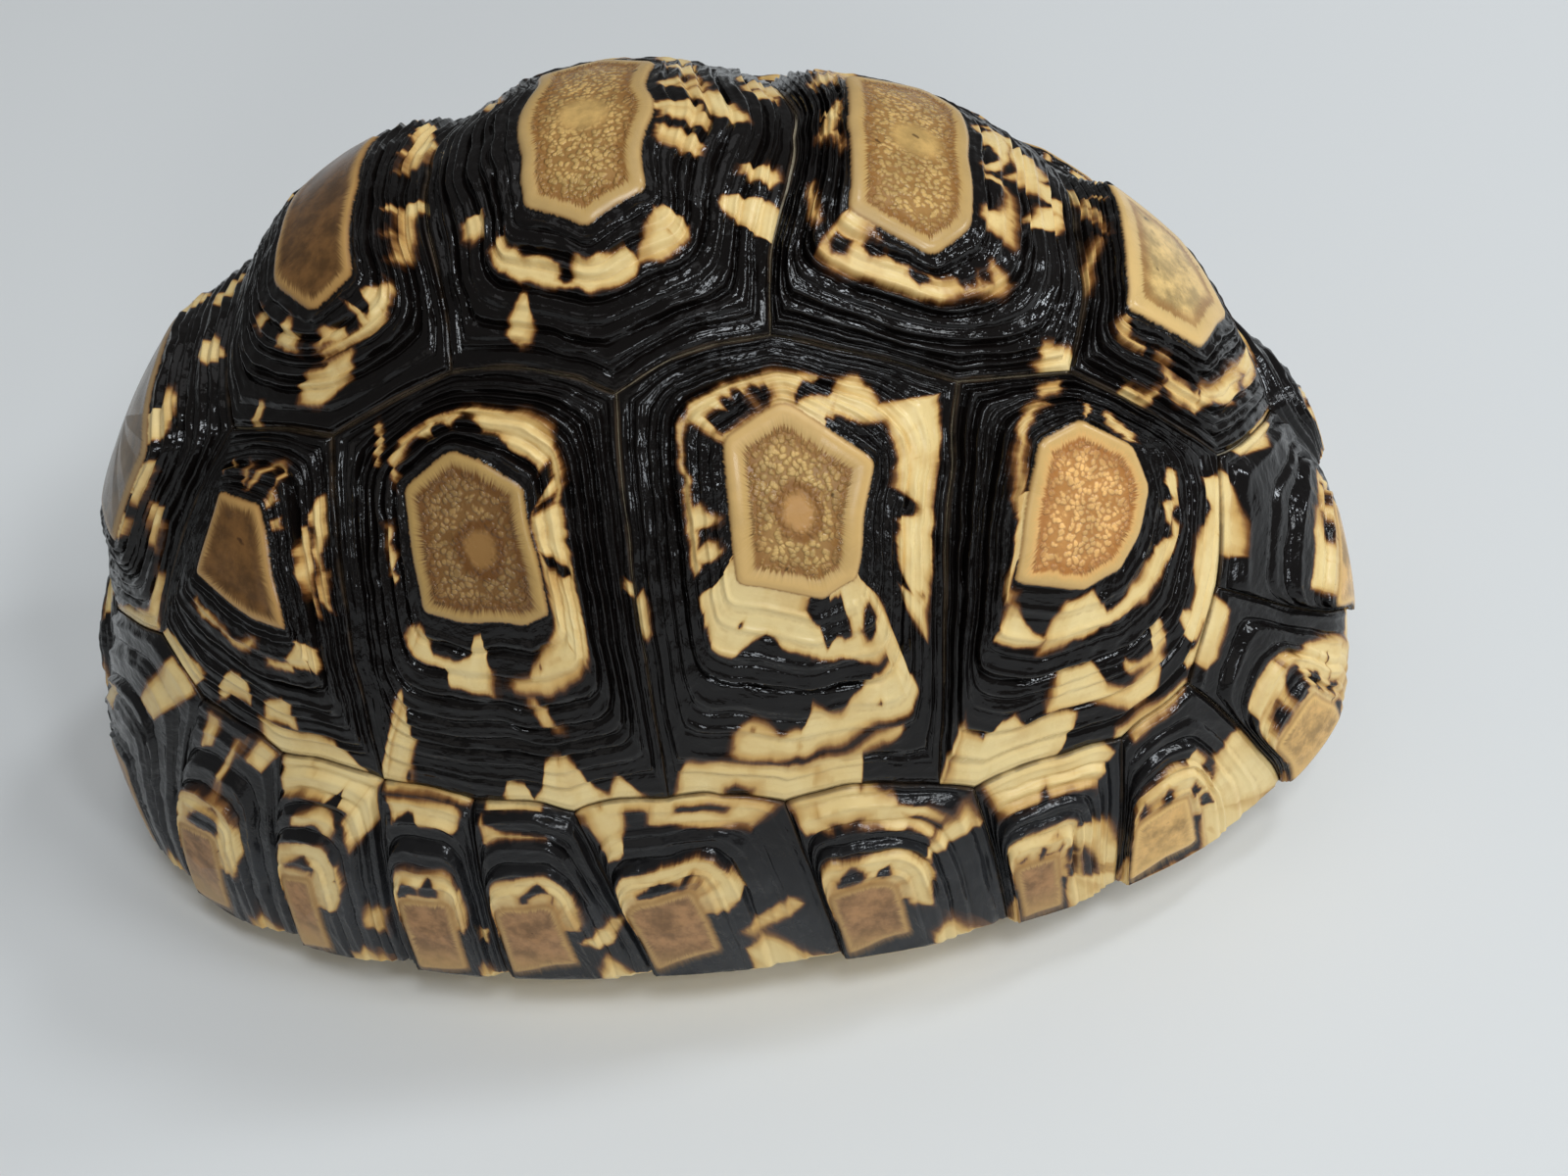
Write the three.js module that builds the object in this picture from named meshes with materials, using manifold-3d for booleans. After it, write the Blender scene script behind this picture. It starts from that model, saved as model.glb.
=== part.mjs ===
// The empty shell of a young leopard tortoise, in millimetres: +X is the head end, +Y the animal's left.
// It rests on its plastron at z = 0. One fused bone shell carries fifty-two horny scutes, each a plate of
// its own. Places on the carapace are given on a flat map of it: (0, 0) is the crown, the distance from
// there is 1 at the rim, and what lies past 1 has turned under the rim.
import * as THREE from "three";
import { mergeVertices } from "three/addons/utils/BufferGeometryUtils.js";
import Module from "manifold-3d";

// Driving dimensions
const HALF_LENGTH = 70;
const HALF_WIDTH = 42.5;
const CROWN_HEIGHT = 84;
const RIM_HEIGHT = 8; // the side rim, above the surface that the plastron lies on
const FRONT_RIM_DROP = 0.8;
const REAR_RIM_DROP = 3;
const PLAN_POWER = 2.18; // 2 is an ellipse, more is squarer
const SIDE_SWELL = 0.95; // below 1 the wall stays steep for longer
const END_SWELL = 1.07;
const CROWN_SWELL_SIDE = 0.91;
const CROWN_SWELL_END = 0.94;
const CROWN_ROUND = 0.35; // map distance from the crown inside which the dome becomes a plain round one
const NECK_ARCH_ANGLE = 16; // degrees that the rim is raised by over the neck
const NECK_ARCH_SPREAD = 13; // degrees to each side
const NECK_ARCH_START = 0.5; // map distance from which the arch begins to draw the rim up
const SHOULDER_FLARE = { out: 2.4, direction: 13, spread: 9 }; // the rim stands out beside the neck
const BRIDGE_TUCK = { inward: 9, down: 7 }; // how the rim turns under, where it meets the plastron
const FREE_TUCK = { inward: 6, down: 2.8 }; // and at the open ends
const TUCK_ROUNDNESS = 1.5;
const BRIDGE_FULL = 24; // the bridge is whole up to here, along X
const BRIDGE_END = 34;
const TUCK_SPAN = 0.25; // map distance that the turned-under part takes
const SEAM_DEPTH = 1.8; // how far a seam lies below the raised middle of a scute
const RIM_SEAM_DEPTH = 0.8;
const HORN = 1; // thickness of a scute at its seams
const GAP = 0.7; // between a scute and the bone; their facets come closer than this
const BONE = 2.5;
const SEAM_GAP_ON_MAP = 0.0028; // half a seam, as a map distance
const PLASTRON_TOP = 4;
const PLASTRON_HORN = 1.2;
const SEAM_HALF = 0.16;

const radians = (degrees) => (degrees * Math.PI) / 180;
const mix = (a, b, t) => a + (b - a) * t;
const smooth = (low, high, x) => {
  const t = Math.min(1, Math.max(0, (x - low) / (high - low)));
  return t * t * (3 - 2 * t);
};

// ---- The form of the carapace ----

// The rim's distance from the middle in plan, in the direction phi.
function rimRadius(phi) {
  const along = Math.abs(Math.cos(phi) / HALF_LENGTH) ** PLAN_POWER;
  const across = Math.abs(Math.sin(phi) / HALF_WIDTH) ** PLAN_POWER;
  return (along + across) ** (-1 / PLAN_POWER);
}

function rimHeight(phi) {
  const drop = Math.cos(phi) > 0 ? FRONT_RIM_DROP : REAR_RIM_DROP;
  return RIM_HEIGHT - drop * Math.abs(Math.cos(phi)) ** 3;
}

// How much a direction points over the neck: 1 straight ahead.
function neckShare(phi) {
  const turn = Math.atan2(Math.sin(phi), Math.cos(phi)) / radians(NECK_ARCH_SPREAD);
  return Math.exp(-turn * turn);
}

// The angle from the crown of a map place. The rim lies at a right angle, and over the neck at less.
function crownAngle(phi, rho) {
  const towardsRim = (Math.max(0, rho - NECK_ARCH_START) / (1 - NECK_ARCH_START)) ** 1.6;
  return radians(90 * rho - NECK_ARCH_ANGLE * neckShare(phi) * towardsRim);
}

function shoulderFlare(phi) {
  const { out, direction, spread } = SHOULDER_FLARE;
  const turn = Math.abs(Math.atan2(Math.sin(phi), Math.cos(phi)));
  return out * Math.exp(-(((turn - radians(direction)) / radians(spread)) ** 2));
}

function domePoint(phi, rho) {
  const angle = crownAngle(phi, rho);
  const side = Math.sin(phi) ** 2;
  const swell = mix(1, mix(END_SWELL, SIDE_SWELL, side), smooth(0, CROWN_ROUND, rho));
  const flare = shoulderFlare(phi) * smooth(0.7, 1, rho);
  const reach = rimRadius(phi) * Math.sin(angle) ** swell + flare;
  const rise = Math.max(0, Math.cos(angle)) ** mix(CROWN_SWELL_END, CROWN_SWELL_SIDE, side);
  const low = rimHeight(phi);
  return new THREE.Vector3(
    reach * Math.cos(phi),
    reach * Math.sin(phi),
    low + (CROWN_HEIGHT - low) * rise,
  );
}

// The outward direction of the rim, seen from above.
function planNormal(phi) {
  const step = 0.01;
  const before = domePoint(phi - step, 1);
  const after = domePoint(phi + step, 1);
  return new THREE.Vector3(after.y - before.y, before.x - after.x, 0).normalize();
}

function domeNormal(phi, rho) {
  const step = 0.01;
  const around = domePoint(phi + step, rho).sub(domePoint(phi - step, rho));
  const down = domePoint(phi, Math.min(1, rho + step)).sub(domePoint(phi, rho - step));
  const steep = down.cross(around).normalize();
  return steep.lerp(planNormal(phi), smooth(0.88, 1, rho)).normalize();
}

const bridgeShare = (x) => 1 - smooth(BRIDGE_FULL, BRIDGE_END, Math.abs(x));

// A point of the carapace, a given depth under its outer skin.
function skin(phi, rho, depth) {
  if (rho < 0.02) return new THREE.Vector3(0, 0, CROWN_HEIGHT - depth);
  if (rho <= 1) return domePoint(phi, rho).addScaledVector(domeNormal(phi, rho), -depth);
  const rim = domePoint(phi, 1);
  const bridge = bridgeShare(rim.x);
  const inward = mix(FREE_TUCK.inward, BRIDGE_TUCK.inward, bridge);
  const down = mix(FREE_TUCK.down, BRIDGE_TUCK.down, bridge);
  const turn = Math.min(1, (rho - 1) / TUCK_SPAN) * (Math.PI / 2);
  const out = Math.max(0.2, inward - depth) * Math.cos(turn) ** TUCK_ROUNDNESS;
  const sink = Math.max(0.2, down - depth) * Math.sin(turn) ** TUCK_ROUNDNESS;
  const tongue = Math.max(0, rho - 1 - TUCK_SPAN) * 30;
  rim.addScaledVector(planNormal(phi), out - inward - tongue);
  rim.z -= sink;
  return rim;
}

const onMap = ([u, v], depth) => skin(Math.atan2(v, u), Math.hypot(u, v), depth);
const seamDepth = ([u, v]) => mix(SEAM_DEPTH, RIM_SEAM_DEPTH, smooth(0.8, 1, Math.hypot(u, v)));

// ---- Turning points and faces into closed bodies ----

function body(points, faces) {
  const geometry = new THREE.BufferGeometry().setFromPoints(points);
  geometry.setIndex(faces);
  geometry.computeVertexNormals();
  return geometry;
}

// Joins rings of equal length, from the outer edge of the top to the middle and, in the same way, the
// underside: the first ring is the edge, and a fan closes the last one.
function plate(topRings, topMiddle, lowRings, lowMiddle) {
  const count = topRings[0].length;
  const points = [...topRings.flat(), topMiddle, ...lowRings.flat(), lowMiddle];
  const faces = [];
  const lowStart = topRings.length * count + 1;
  const side = (start, rings, flip) => {
    const face = (a, b, c) => faces.push(...(flip ? [a, c, b] : [a, b, c]));
    for (let i = 0; i < count; i++) {
      const next = (i + 1) % count;
      for (let ring = 0; ring + 1 < rings.length; ring++) {
        const outer = start + ring * count;
        const inner = outer + count;
        face(outer + i, outer + next, inner + next);
        face(outer + i, inner + next, inner + i);
      }
      const last = start + (rings.length - 1) * count;
      face(last + i, last + next, start + rings.length * count);
    }
  };
  side(0, topRings, false);
  side(lowStart, lowRings, true);
  for (let i = 0; i < count; i++) {
    const next = (i + 1) % count;
    faces.push(i, lowStart + i, next, next, lowStart + i, lowStart + next);
  }
  return body(points, faces);
}

// ---- Outlines on the map ----

const middleOf = (points) =>
  points.reduce(([a, b], [u, v]) => [a + u / points.length, b + v / points.length], [0, 0]);

// Walks round an outline and puts points between its corners, so that no step is longer than allowed.
function stepped(outline, longest) {
  return outline.flatMap(([u, v], i) => {
    const [nextU, nextV] = outline[(i + 1) % outline.length];
    const steps = Math.max(1, Math.ceil(Math.hypot(nextU - u, nextV - v) / longest));
    return Array.from({ length: steps }, (_, k) => [
      mix(u, nextU, k / steps),
      mix(v, nextV, k / steps),
    ]);
  });
}

// Moves each side of an anticlockwise outline inwards.
function inset(outline, distance) {
  const count = outline.length;
  const inwards = outline.map(([u, v], i) => {
    const [nextU, nextV] = outline[(i + 1) % count];
    const length = Math.hypot(nextU - u, nextV - v);
    return [-(nextV - v) / length, (nextU - u) / length];
  });
  return outline.map(([u, v], i) => {
    const [a, b] = inwards[(i + count - 1) % count];
    const [c, d] = inwards[i];
    const reach = distance / (1 + a * c + b * d);
    return [u + (a + c) * reach, v + (b + d) * reach];
  });
}

// Each outline point's partner on the smaller areola outline: where a line from the areola's middle
// towards that point leaves the areola.
function towards(outline, areola) {
  const [midU, midV] = middleOf(areola);
  return outline.map(([u, v]) => {
    const du = u - midU;
    const dv = v - midV;
    let share = Infinity;
    areola.forEach(([aU, aV], i) => {
      const [bU, bV] = areola[(i + 1) % areola.length];
      const eU = bU - aU;
      const eV = bV - aV;
      const cross = du * eV - dv * eU;
      const along = ((aU - midU) * eV - (aV - midV) * eU) / cross;
      const across = ((aU - midU) * dv - (aV - midV) * du) / cross;
      if (along > 0 && across >= -1e-6 && across <= 1 + 1e-6) share = Math.min(share, along);
    });
    return [midU + du * Math.min(share, 0.96), midV + dv * Math.min(share, 0.96)];
  });
}

const anticlockwise = (outline) => {
  const area = outline.reduce((sum, [u, v], i) => {
    const [nextU, nextV] = outline[(i + 1) % outline.length];
    return sum + u * nextV - v * nextU;
  }, 0);
  return area > 0 ? outline : [...outline].reverse();
};

// A scute on the dome: deep at its seams, raised to its areola.
function domeScute(outline, areola, longest) {
  const edge = stepped(inset(anticlockwise(outline), SEAM_GAP_ON_MAP), longest);
  const core = towards(edge, areola);
  const halfway = edge.map(([u, v], i) => [mix(u, core[i][0], 0.45), mix(v, core[i][1], 0.45)]);
  const middle = middleOf(areola);
  const under = (p) => onMap(p, seamDepth(p) + HORN);
  return plate(
    [
      edge.map((p) => onMap(p, seamDepth(p))),
      halfway.map((p) => onMap(p, 0.3 * seamDepth(p))),
      core.map((p) => onMap(p, 0)),
    ],
    onMap(middle, 0),
    [edge.map(under), halfway.map(under), core.map(under)],
    under(middle),
  );
}

// ---- Where the seams of the carapace meet, on the map, for the side at +v ----

const NECK_TIP = [0.82, 0];
const VERTEBRAL_SEAMS = {
  oneFront: [0.655, 0.17],
  oneTwo: [0.47, 0.19],
  twoSide: [0.38, 0.26],
  twoThree: [0.2, 0.29],
  threeSide: [0, 0.39],
  threeFour: [-0.21, 0.29],
  fourSide: [-0.35, 0.27],
  fourFive: [-0.44, 0.17],
  fiveSide: [-0.66, 0.26],
  fiveTail: [-0.75, 0.12],
};
// Where the seams between vertebral scutes cross the midline.
const MIDLINE = {
  oneTwo: [0.45, 0],
  twoThree: [0.175, 0],
  threeFour: [-0.175, 0],
  fourFive: [-0.41, 0],
};
const COSTAL_FOOT = { oneTwo: [0.46, 0.71], twoThree: [-0.02, 0.82], threeFour: [-0.5, 0.62] };
// The seams between marginal scutes: where each starts on the dome, and its direction at the rim. The top
// edge of the scute that follows bends at via.
const MARGINAL_SEAMS = [
  { top: NECK_TIP, rim: 0, via: VERTEBRAL_SEAMS.oneFront },
  { top: [0.705, 0.3], rim: 9.3 },
  { top: [0.73, 0.41], rim: 22.5 },
  { top: [0.68, 0.52], rim: 40.5 },
  { top: [0.51, 0.69], rim: 52.5, via: COSTAL_FOOT.oneTwo },
  { top: [0.2, 0.81], rim: 73, via: COSTAL_FOOT.twoThree },
  { top: [-0.21, 0.8], rim: 98.5 },
  { top: [-0.38, 0.72], rim: 118.5 },
  { top: [-0.5, 0.62], rim: 130.4 },
  { top: [-0.61, 0.49], rim: 143.5 },
  { top: [-0.66, 0.36], rim: 157.5, via: VERTEBRAL_SEAMS.fiveSide },
  { top: VERTEBRAL_SEAMS.fiveTail, rim: 169.5 },
];
const seamAtRim = (i) => {
  const phi = radians(MARGINAL_SEAMS[i].rim);
  return [Math.cos(phi), Math.sin(phi)];
};

const otherSide = (points) => points.map(([u, v]) => [u, -v]);
const bothSides = (half) => [...half, ...otherSide(half).reverse()];
// A whole outline from its half: the first and last points may lie on the midline.
const mirrored = (front, half, rear) => [front, ...half, rear, ...otherSide(half).reverse()];

const S = VERTEBRAL_SEAMS;
const TAIL_MIDDLE = [-0.75, 0];
const VERTEBRALS = [
  {
    outline: mirrored(NECK_TIP, [S.oneFront, S.oneTwo], MIDLINE.oneTwo),
    areola: [[0.487, 0.105], [0.58, 0.09], [0.635, 0]],
  },
  {
    outline: mirrored(MIDLINE.oneTwo, [S.oneTwo, S.twoSide, S.twoThree], MIDLINE.twoThree),
    areola: [[0.238, 0.115], [0.316, 0.145], [0.338, 0.095]],
  },
  {
    outline: mirrored(MIDLINE.twoThree, [S.twoThree, S.threeSide, S.threeFour], MIDLINE.threeFour),
    areola: [[-0.093, 0.138], [-0.016, 0.195], [0.062, 0.142]],
  },
  {
    outline: mirrored(MIDLINE.threeFour, [S.threeFour, S.fourSide, S.fourFive], MIDLINE.fourFive),
    areola: [[-0.334, 0.07], [-0.303, 0.136], [-0.258, 0.12]],
  },
  {
    outline: mirrored(MIDLINE.fourFive, [S.fourFive, S.fiveSide, S.fiveTail], TAIL_MIDDLE),
    areola: [[-0.66, 0.06], [-0.63, 0.15], [-0.53, 0.12]],
  },
];

const M = MARGINAL_SEAMS.map((seam) => seam.top);
const COSTALS = [
  {
    outline: [S.oneTwo, S.oneFront, M[1], M[2], M[3], M[4], COSTAL_FOOT.oneTwo, S.twoSide],
    areola: [
      [0.48, 0.245],
      [0.455, 0.29],
      [0.48, 0.44],
      [0.55, 0.41],
      [0.575, 0.36],
      [0.57, 0.27],
      [0.535, 0.24],
    ],
  },
  {
    outline: [S.twoSide, COSTAL_FOOT.oneTwo, M[5], COSTAL_FOOT.twoThree, S.threeSide, S.twoThree],
    areola: [[0.215, 0.365], [0.145, 0.425], [0.15, 0.575], [0.27, 0.56], [0.31, 0.525], [0.315, 0.39]],
  },
  {
    outline: [
      S.threeSide,
      COSTAL_FOOT.twoThree,
      M[6],
      M[7],
      COSTAL_FOOT.threeFour,
      S.fourSide,
      S.threeFour,
    ],
    areola: [[-0.22, 0.38], [-0.285, 0.385], [-0.315, 0.515], [-0.27, 0.55], [-0.14, 0.59], [-0.14, 0.455]],
  },
  {
    outline: [S.fourSide, COSTAL_FOOT.threeFour, M[9], M[10], S.fiveSide, S.fourFive],
    areola: [[-0.465, 0.24], [-0.435, 0.285], [-0.48, 0.415], [-0.51, 0.375], [-0.54, 0.285]],
  },
];

// ---- Marginal scutes: they run down from the costals, round the rim and under it ----

const MARGINAL_STEPS = { along: 3, down: 8 };
const NECK_STEPS = { along: 5, down: 8 }; // the first ones follow the arch over the neck

// A grid of steps from a line on the dome to the rim, and in the second half of them under it.
function marginalScute(topLine, rimLine, { along, down } = MARGINAL_STEPS) {
  const grid = (depthAt) => {
    const rows = [];
    for (let j = 0; j <= down; j++) {
      for (let i = 0; i <= along; i++) {
        const [topU, topV] = topLine(i / along);
        const [rimU, rimV] = rimLine(i / along);
        const t = j / down;
        const onDome = Math.min(1, 2 * t);
        const under = 1 + TUCK_SPAN * Math.max(0, 2 * t - 1);
        const p = [mix(topU, rimU, onDome) * under, mix(topV, rimV, onDome) * under];
        const fromEdge = Math.min(i / along, 1 - i / along, 1.5 * t);
        rows.push(onMap(p, depthAt(p, Math.min(1, 3 * fromEdge))));
      }
    }
    return rows;
  };
  const top = grid((p, raised) => seamDepth(p) * (1 - 0.8 * raised));
  const low = grid((p) => seamDepth(p) + HORN);
  const at = (i, j) => j * (along + 1) + i;
  const faces = [];
  const quad = (a, b, c, d) => faces.push(a, b, c, a, c, d);
  for (let j = 0; j < down; j++)
    for (let i = 0; i < along; i++) {
      quad(at(i, j), at(i, j + 1), at(i + 1, j + 1), at(i + 1, j));
      const [a, b, c, d] = [at(i, j), at(i + 1, j), at(i + 1, j + 1), at(i, j + 1)];
      quad(...[a, b, c, d].map((k) => k + top.length));
    }
  const border = [];
  for (let i = 0; i < along; i++) border.push(at(i, 0));
  for (let j = 0; j < down; j++) border.push(at(along, j));
  for (let i = along; i > 0; i--) border.push(at(i, down));
  for (let j = down; j > 0; j--) border.push(at(0, j));
  border.forEach((k, n) => {
    const next = border[(n + 1) % border.length];
    quad(k, next, next + top.length, k + top.length);
  });
  return body([...top, ...low], faces);
}

// The line between two map points, by way of a third if there is one, held half a seam's width clear of
// both ends.
function between(start, end, via) {
  const whole = Math.hypot(end[0] - start[0], end[1] - start[1]);
  const low = SEAM_GAP_ON_MAP / whole;
  const turn = via ? Math.hypot(via[0] - start[0], via[1] - start[1]) / whole : 1;
  const last = via ?? end;
  return (share) => {
    const t = mix(low, 1 - low, share);
    const first = t <= turn;
    const [from, to] = first ? [start, last] : [last, end];
    const along = first ? t / turn : (t - turn) / (1 - turn);
    return [0, 1].map((axis) => mix(from[axis], to[axis], along));
  };
}

// The same, with the line moved outwards from the crown, clear of the scute above it.
function below(line) {
  return (t) => {
    const [u, v] = line(t);
    const away = 1 + SEAM_GAP_ON_MAP / Math.hypot(u, v);
    return [u * away, v * away];
  };
}

// ---- The bone shell under the scutes ----

const BONE_STEPS = { around: 64, down: 13 };

function carapaceBone() {
  const { around, down } = BONE_STEPS;
  const rings = (extra) =>
    Array.from({ length: down }, (_, j) =>
      Array.from({ length: around }, (_, i) => {
        const phi = (2 * Math.PI * i) / around;
        const end = 1.12 + 0.23 * bridgeShare(domePoint(phi, 1).x) - 0.16 * neckShare(phi);
        const rho = end * (1 - (j / down) ** 1.25);
        const place = [rho * Math.cos(phi), rho * Math.sin(phi)];
        return skin(phi, rho, seamDepth(place) + HORN + GAP + extra);
      }),
    );
  const crownDepth = SEAM_DEPTH + HORN + GAP;
  const crown = (extra) => new THREE.Vector3(0, 0, CROWN_HEIGHT - crownDepth - extra);
  return plate(rings(0), crown(0), rings(BONE), crown(BONE));
}

// Half of the plastron's outline, from the neck to the tail: how far it reaches to the side.
const PLASTRON_SIDE = [
  [59, 0],
  [61, 5],
  [57, 12],
  [47, 18],
  [37, 21],
  [33, 26],
  [29, 29.5],
  [22, 31],
  [9, 32.7],
  [-9, 32.7],
  [-22, 31],
  [-31, 27],
  [-37, 23],
  [-46, 19],
  [-52, 11],
  [-51, 6],
  [-46, 0],
];

function flatPlate(outline, low, high) {
  const shape = new THREE.Shape(anticlockwise(outline).map(([x, y]) => new THREE.Vector2(x, y)));
  const geometry = new THREE.ExtrudeGeometry(shape, { depth: high - low, bevelEnabled: false });
  return geometry.translate(0, 0, low);
}

const wasm = await Module();
wasm.setup();

function solidOf(geometry) {
  const bare = new THREE.BufferGeometry();
  bare.setAttribute("position", geometry.getAttribute("position"));
  if (geometry.index) bare.setIndex(geometry.index);
  const merged = mergeVertices(bare, 1e-4);
  const vertProperties = merged.getAttribute("position").array;
  const triVerts = new Uint32Array(merged.index.array);
  return new wasm.Manifold(new wasm.Mesh({ numProp: 3, vertProperties, triVerts }));
}

function geometryOf(solid) {
  const mesh = solid.getMesh();
  const geometry = new THREE.BufferGeometry();
  geometry.setAttribute("position", new THREE.BufferAttribute(mesh.vertProperties, 3));
  geometry.setIndex(new THREE.BufferAttribute(mesh.triVerts, 1));
  geometry.computeVertexNormals();
  return geometry;
}

function boneShell() {
  const outline = mirrored(PLASTRON_SIDE[0], PLASTRON_SIDE.slice(1, -1), PLASTRON_SIDE.at(-1));
  const floor = flatPlate(inset(anticlockwise(outline), 0.5), PLASTRON_HORN + GAP, PLASTRON_TOP);
  return geometryOf(solidOf(carapaceBone()).add(solidOf(floor)));
}

// ---- The scutes of the plastron, for the side at +Y: each a flat plate against the midline ----

const PLASTRALS = {
  gular: [[59, 0], [61, 5], [57, 12], [48, 0]],
  humeral: [[48, 0], [57, 12], [47, 18], [37, 21], [30, 17], [28, 0]],
  pectoral: [[28, 0], [30, 17], [37, 21], [30, 23], [29, 29.5], [22, 31], [19, 0]],
  abdominal: [[19, 0], [22, 31], [9, 32.7], [-9, 32.7], [-22, 31], [-25, 24], [-17, 0]],
  femoral: [[-17, 0], [-25, 24], [-31, 27], [-37, 23], [-46, 19], [-35, 0]],
  anal: [[-35, 0], [-46, 19], [-52, 11], [-51, 6], [-46, 0]],
};
// The small scutes in the two notches of the bridge.
const NOTCHES = {
  axillary: [[37, 21], [33, 26], [29, 29.5], [30, 23]],
  inguinal: [[-22, 31], [-25, 24], [-31, 27]],
};

// ---- The whole shell ----

const COLOURS = {
  bone: new THREE.MeshStandardMaterial({ color: "#d8c8a2", roughness: 0.75 }),
  carapace: new THREE.MeshStandardMaterial({ color: "#3a2c1c", roughness: 0.3 }),
  rim: new THREE.MeshStandardMaterial({ color: "#6a5a3c", roughness: 0.45 }),
  plastron: new THREE.MeshStandardMaterial({ color: "#c8ad6e", roughness: 0.5 }),
};

const shell = new THREE.Group();

function addPiece(name, geometry, material) {
  const mesh = new THREE.Mesh(geometry, material.clone());
  mesh.name = name;
  shell.add(mesh);
}

const SCUTE_STEP = 0.1;
const SIDES = [
  { name: "left", place: (points) => [...points] },
  { name: "right", place: otherSide },
];

addPiece("bone_shell", boneShell(), COLOURS.bone);

VERTEBRALS.forEach(({ outline, areola }, i) => {
  const geometry = domeScute(outline, anticlockwise(bothSides(areola)), SCUTE_STEP);
  addPiece("vertebral_scute_" + (i + 1), geometry, COLOURS.carapace);
});

for (const { name, place } of SIDES) {
  COSTALS.forEach(({ outline, areola }, i) => {
    const geometry = domeScute(place(outline), anticlockwise(place(areola)), SCUTE_STEP);
    addPiece("costal_scute_" + name + "_" + (i + 1), geometry, COLOURS.carapace);
  });

  MARGINAL_SEAMS.slice(0, -1).forEach(({ via }, i) => {
    const ends = place([M[i], M[i + 1]]);
    const rim = place([seamAtRim(i), seamAtRim(i + 1)]);
    if (name === "right") {
      ends.reverse();
      rim.reverse();
    }
    const turn = via && place([via])[0];
    const steps = i === 0 ? NECK_STEPS : MARGINAL_STEPS;
    const geometry = marginalScute(below(between(...ends, turn)), between(...rim), steps);
    addPiece("marginal_scute_" + name + "_" + (i + 1), geometry, COLOURS.rim);
  });

  for (const [kind, outline] of Object.entries({ ...PLASTRALS, ...NOTCHES })) {
    const edge = inset(anticlockwise(place(outline)), SEAM_HALF);
    addPiece(kind + "_scute_" + name, flatPlate(edge, 0, PLASTRON_HORN), COLOURS.plastron);
  }
}

const tailTop = [M[11], ...otherSide([M[11]])];
const tailRim = [seamAtRim(11), ...otherSide([seamAtRim(11)])];
addPiece(
  "supracaudal_scute",
  marginalScute(below(between(...tailTop)), between(...tailRim)),
  COLOURS.rim,
);

export default shell;
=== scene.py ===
"""The empty shell of a young leopard tortoise: horny scutes over one shell of fused bone.

Places on the carapace are given on a flat map of it. (0, 0) is the crown, the distance from there
is 1 at the rim, and what lies past 1 has turned under the rim. Places on one scute are given as
the corner that they lie towards, counted round its outline, and the ring: 0 at the edge of the
areola, which is the hatchling plate in its middle, and 1 at the seam.
"""

import itertools
import math

import bmesh
import bpy
import numpy as np
from mathutils import Matrix, Vector


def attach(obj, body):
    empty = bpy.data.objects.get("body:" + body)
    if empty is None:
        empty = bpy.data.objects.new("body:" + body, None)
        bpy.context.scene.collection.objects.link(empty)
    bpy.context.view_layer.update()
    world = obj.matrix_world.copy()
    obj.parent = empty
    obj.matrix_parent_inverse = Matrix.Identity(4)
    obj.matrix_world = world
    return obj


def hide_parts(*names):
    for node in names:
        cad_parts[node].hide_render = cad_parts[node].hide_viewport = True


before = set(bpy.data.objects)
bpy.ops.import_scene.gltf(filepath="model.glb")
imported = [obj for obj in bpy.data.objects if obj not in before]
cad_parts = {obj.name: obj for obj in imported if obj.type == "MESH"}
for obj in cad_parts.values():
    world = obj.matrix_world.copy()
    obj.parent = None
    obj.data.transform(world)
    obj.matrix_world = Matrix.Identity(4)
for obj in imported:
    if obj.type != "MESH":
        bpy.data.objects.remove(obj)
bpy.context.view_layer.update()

MM = 0.001

# ---- The form of the carapace, in millimetres, as the CAD has it ----

HALF_LENGTH = 70
HALF_WIDTH = 42.5
CROWN_HEIGHT = 84
RIM_HEIGHT = 8
FRONT_RIM_DROP = 0.8
REAR_RIM_DROP = 3
PLAN_POWER = 2.18
SIDE_SWELL, END_SWELL = 0.95, 1.07
CROWN_SWELL_SIDE, CROWN_SWELL_END = 0.91, 0.94
CROWN_ROUND = 0.35
NECK_ARCH_ANGLE, NECK_ARCH_SPREAD, NECK_ARCH_START = 16, 13, 0.5
FLARE_OUT, FLARE_DIRECTION, FLARE_SPREAD = 2.4, 13, 9
BRIDGE_IN, BRIDGE_DOWN = 9, 7
FREE_IN, FREE_DOWN = 6, 2.8
TUCK_ROUNDNESS = 1.5
BRIDGE_FULL, BRIDGE_END = 24, 34
TUCK_SPAN = 0.25
SEAM_DEPTH, RIM_SEAM_DEPTH = 1.8, 0.8
HORN, GAP, BONE = 1, 0.7, 2.5
PLASTRON_HORN, PLASTRON_TOP = 1.2, 4

# The finished horn sinks deeper to its seams than the plain plates do, to just over the bone.
FINISHED_SEAM = 1.35  # times as deep
FINISHED_BACK = 1.45  # how far its back lies under the plain seams


def mix(a, b, share):
    return a + (b - a) * share


def smooth(low, high, value):
    share = np.clip((value - low) / (high - low), 0, 1)
    return share * share * (3 - 2 * share)


def unit(vectors):
    return vectors / np.maximum(np.linalg.norm(vectors, axis=-1, keepdims=True), 1e-12)


def wrapped(phi):
    return np.arctan2(np.sin(phi), np.cos(phi))


def neck_share(phi):
    return np.exp(-((wrapped(phi) / math.radians(NECK_ARCH_SPREAD)) ** 2))


def rim_radius(phi):
    along = np.abs(np.cos(phi) / HALF_LENGTH) ** PLAN_POWER
    across = np.abs(np.sin(phi) / HALF_WIDTH) ** PLAN_POWER
    return (along + across) ** (-1 / PLAN_POWER)


def rim_height(phi):
    drop = np.where(np.cos(phi) > 0, FRONT_RIM_DROP, REAR_RIM_DROP)
    return RIM_HEIGHT - drop * np.abs(np.cos(phi)) ** 3


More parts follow.
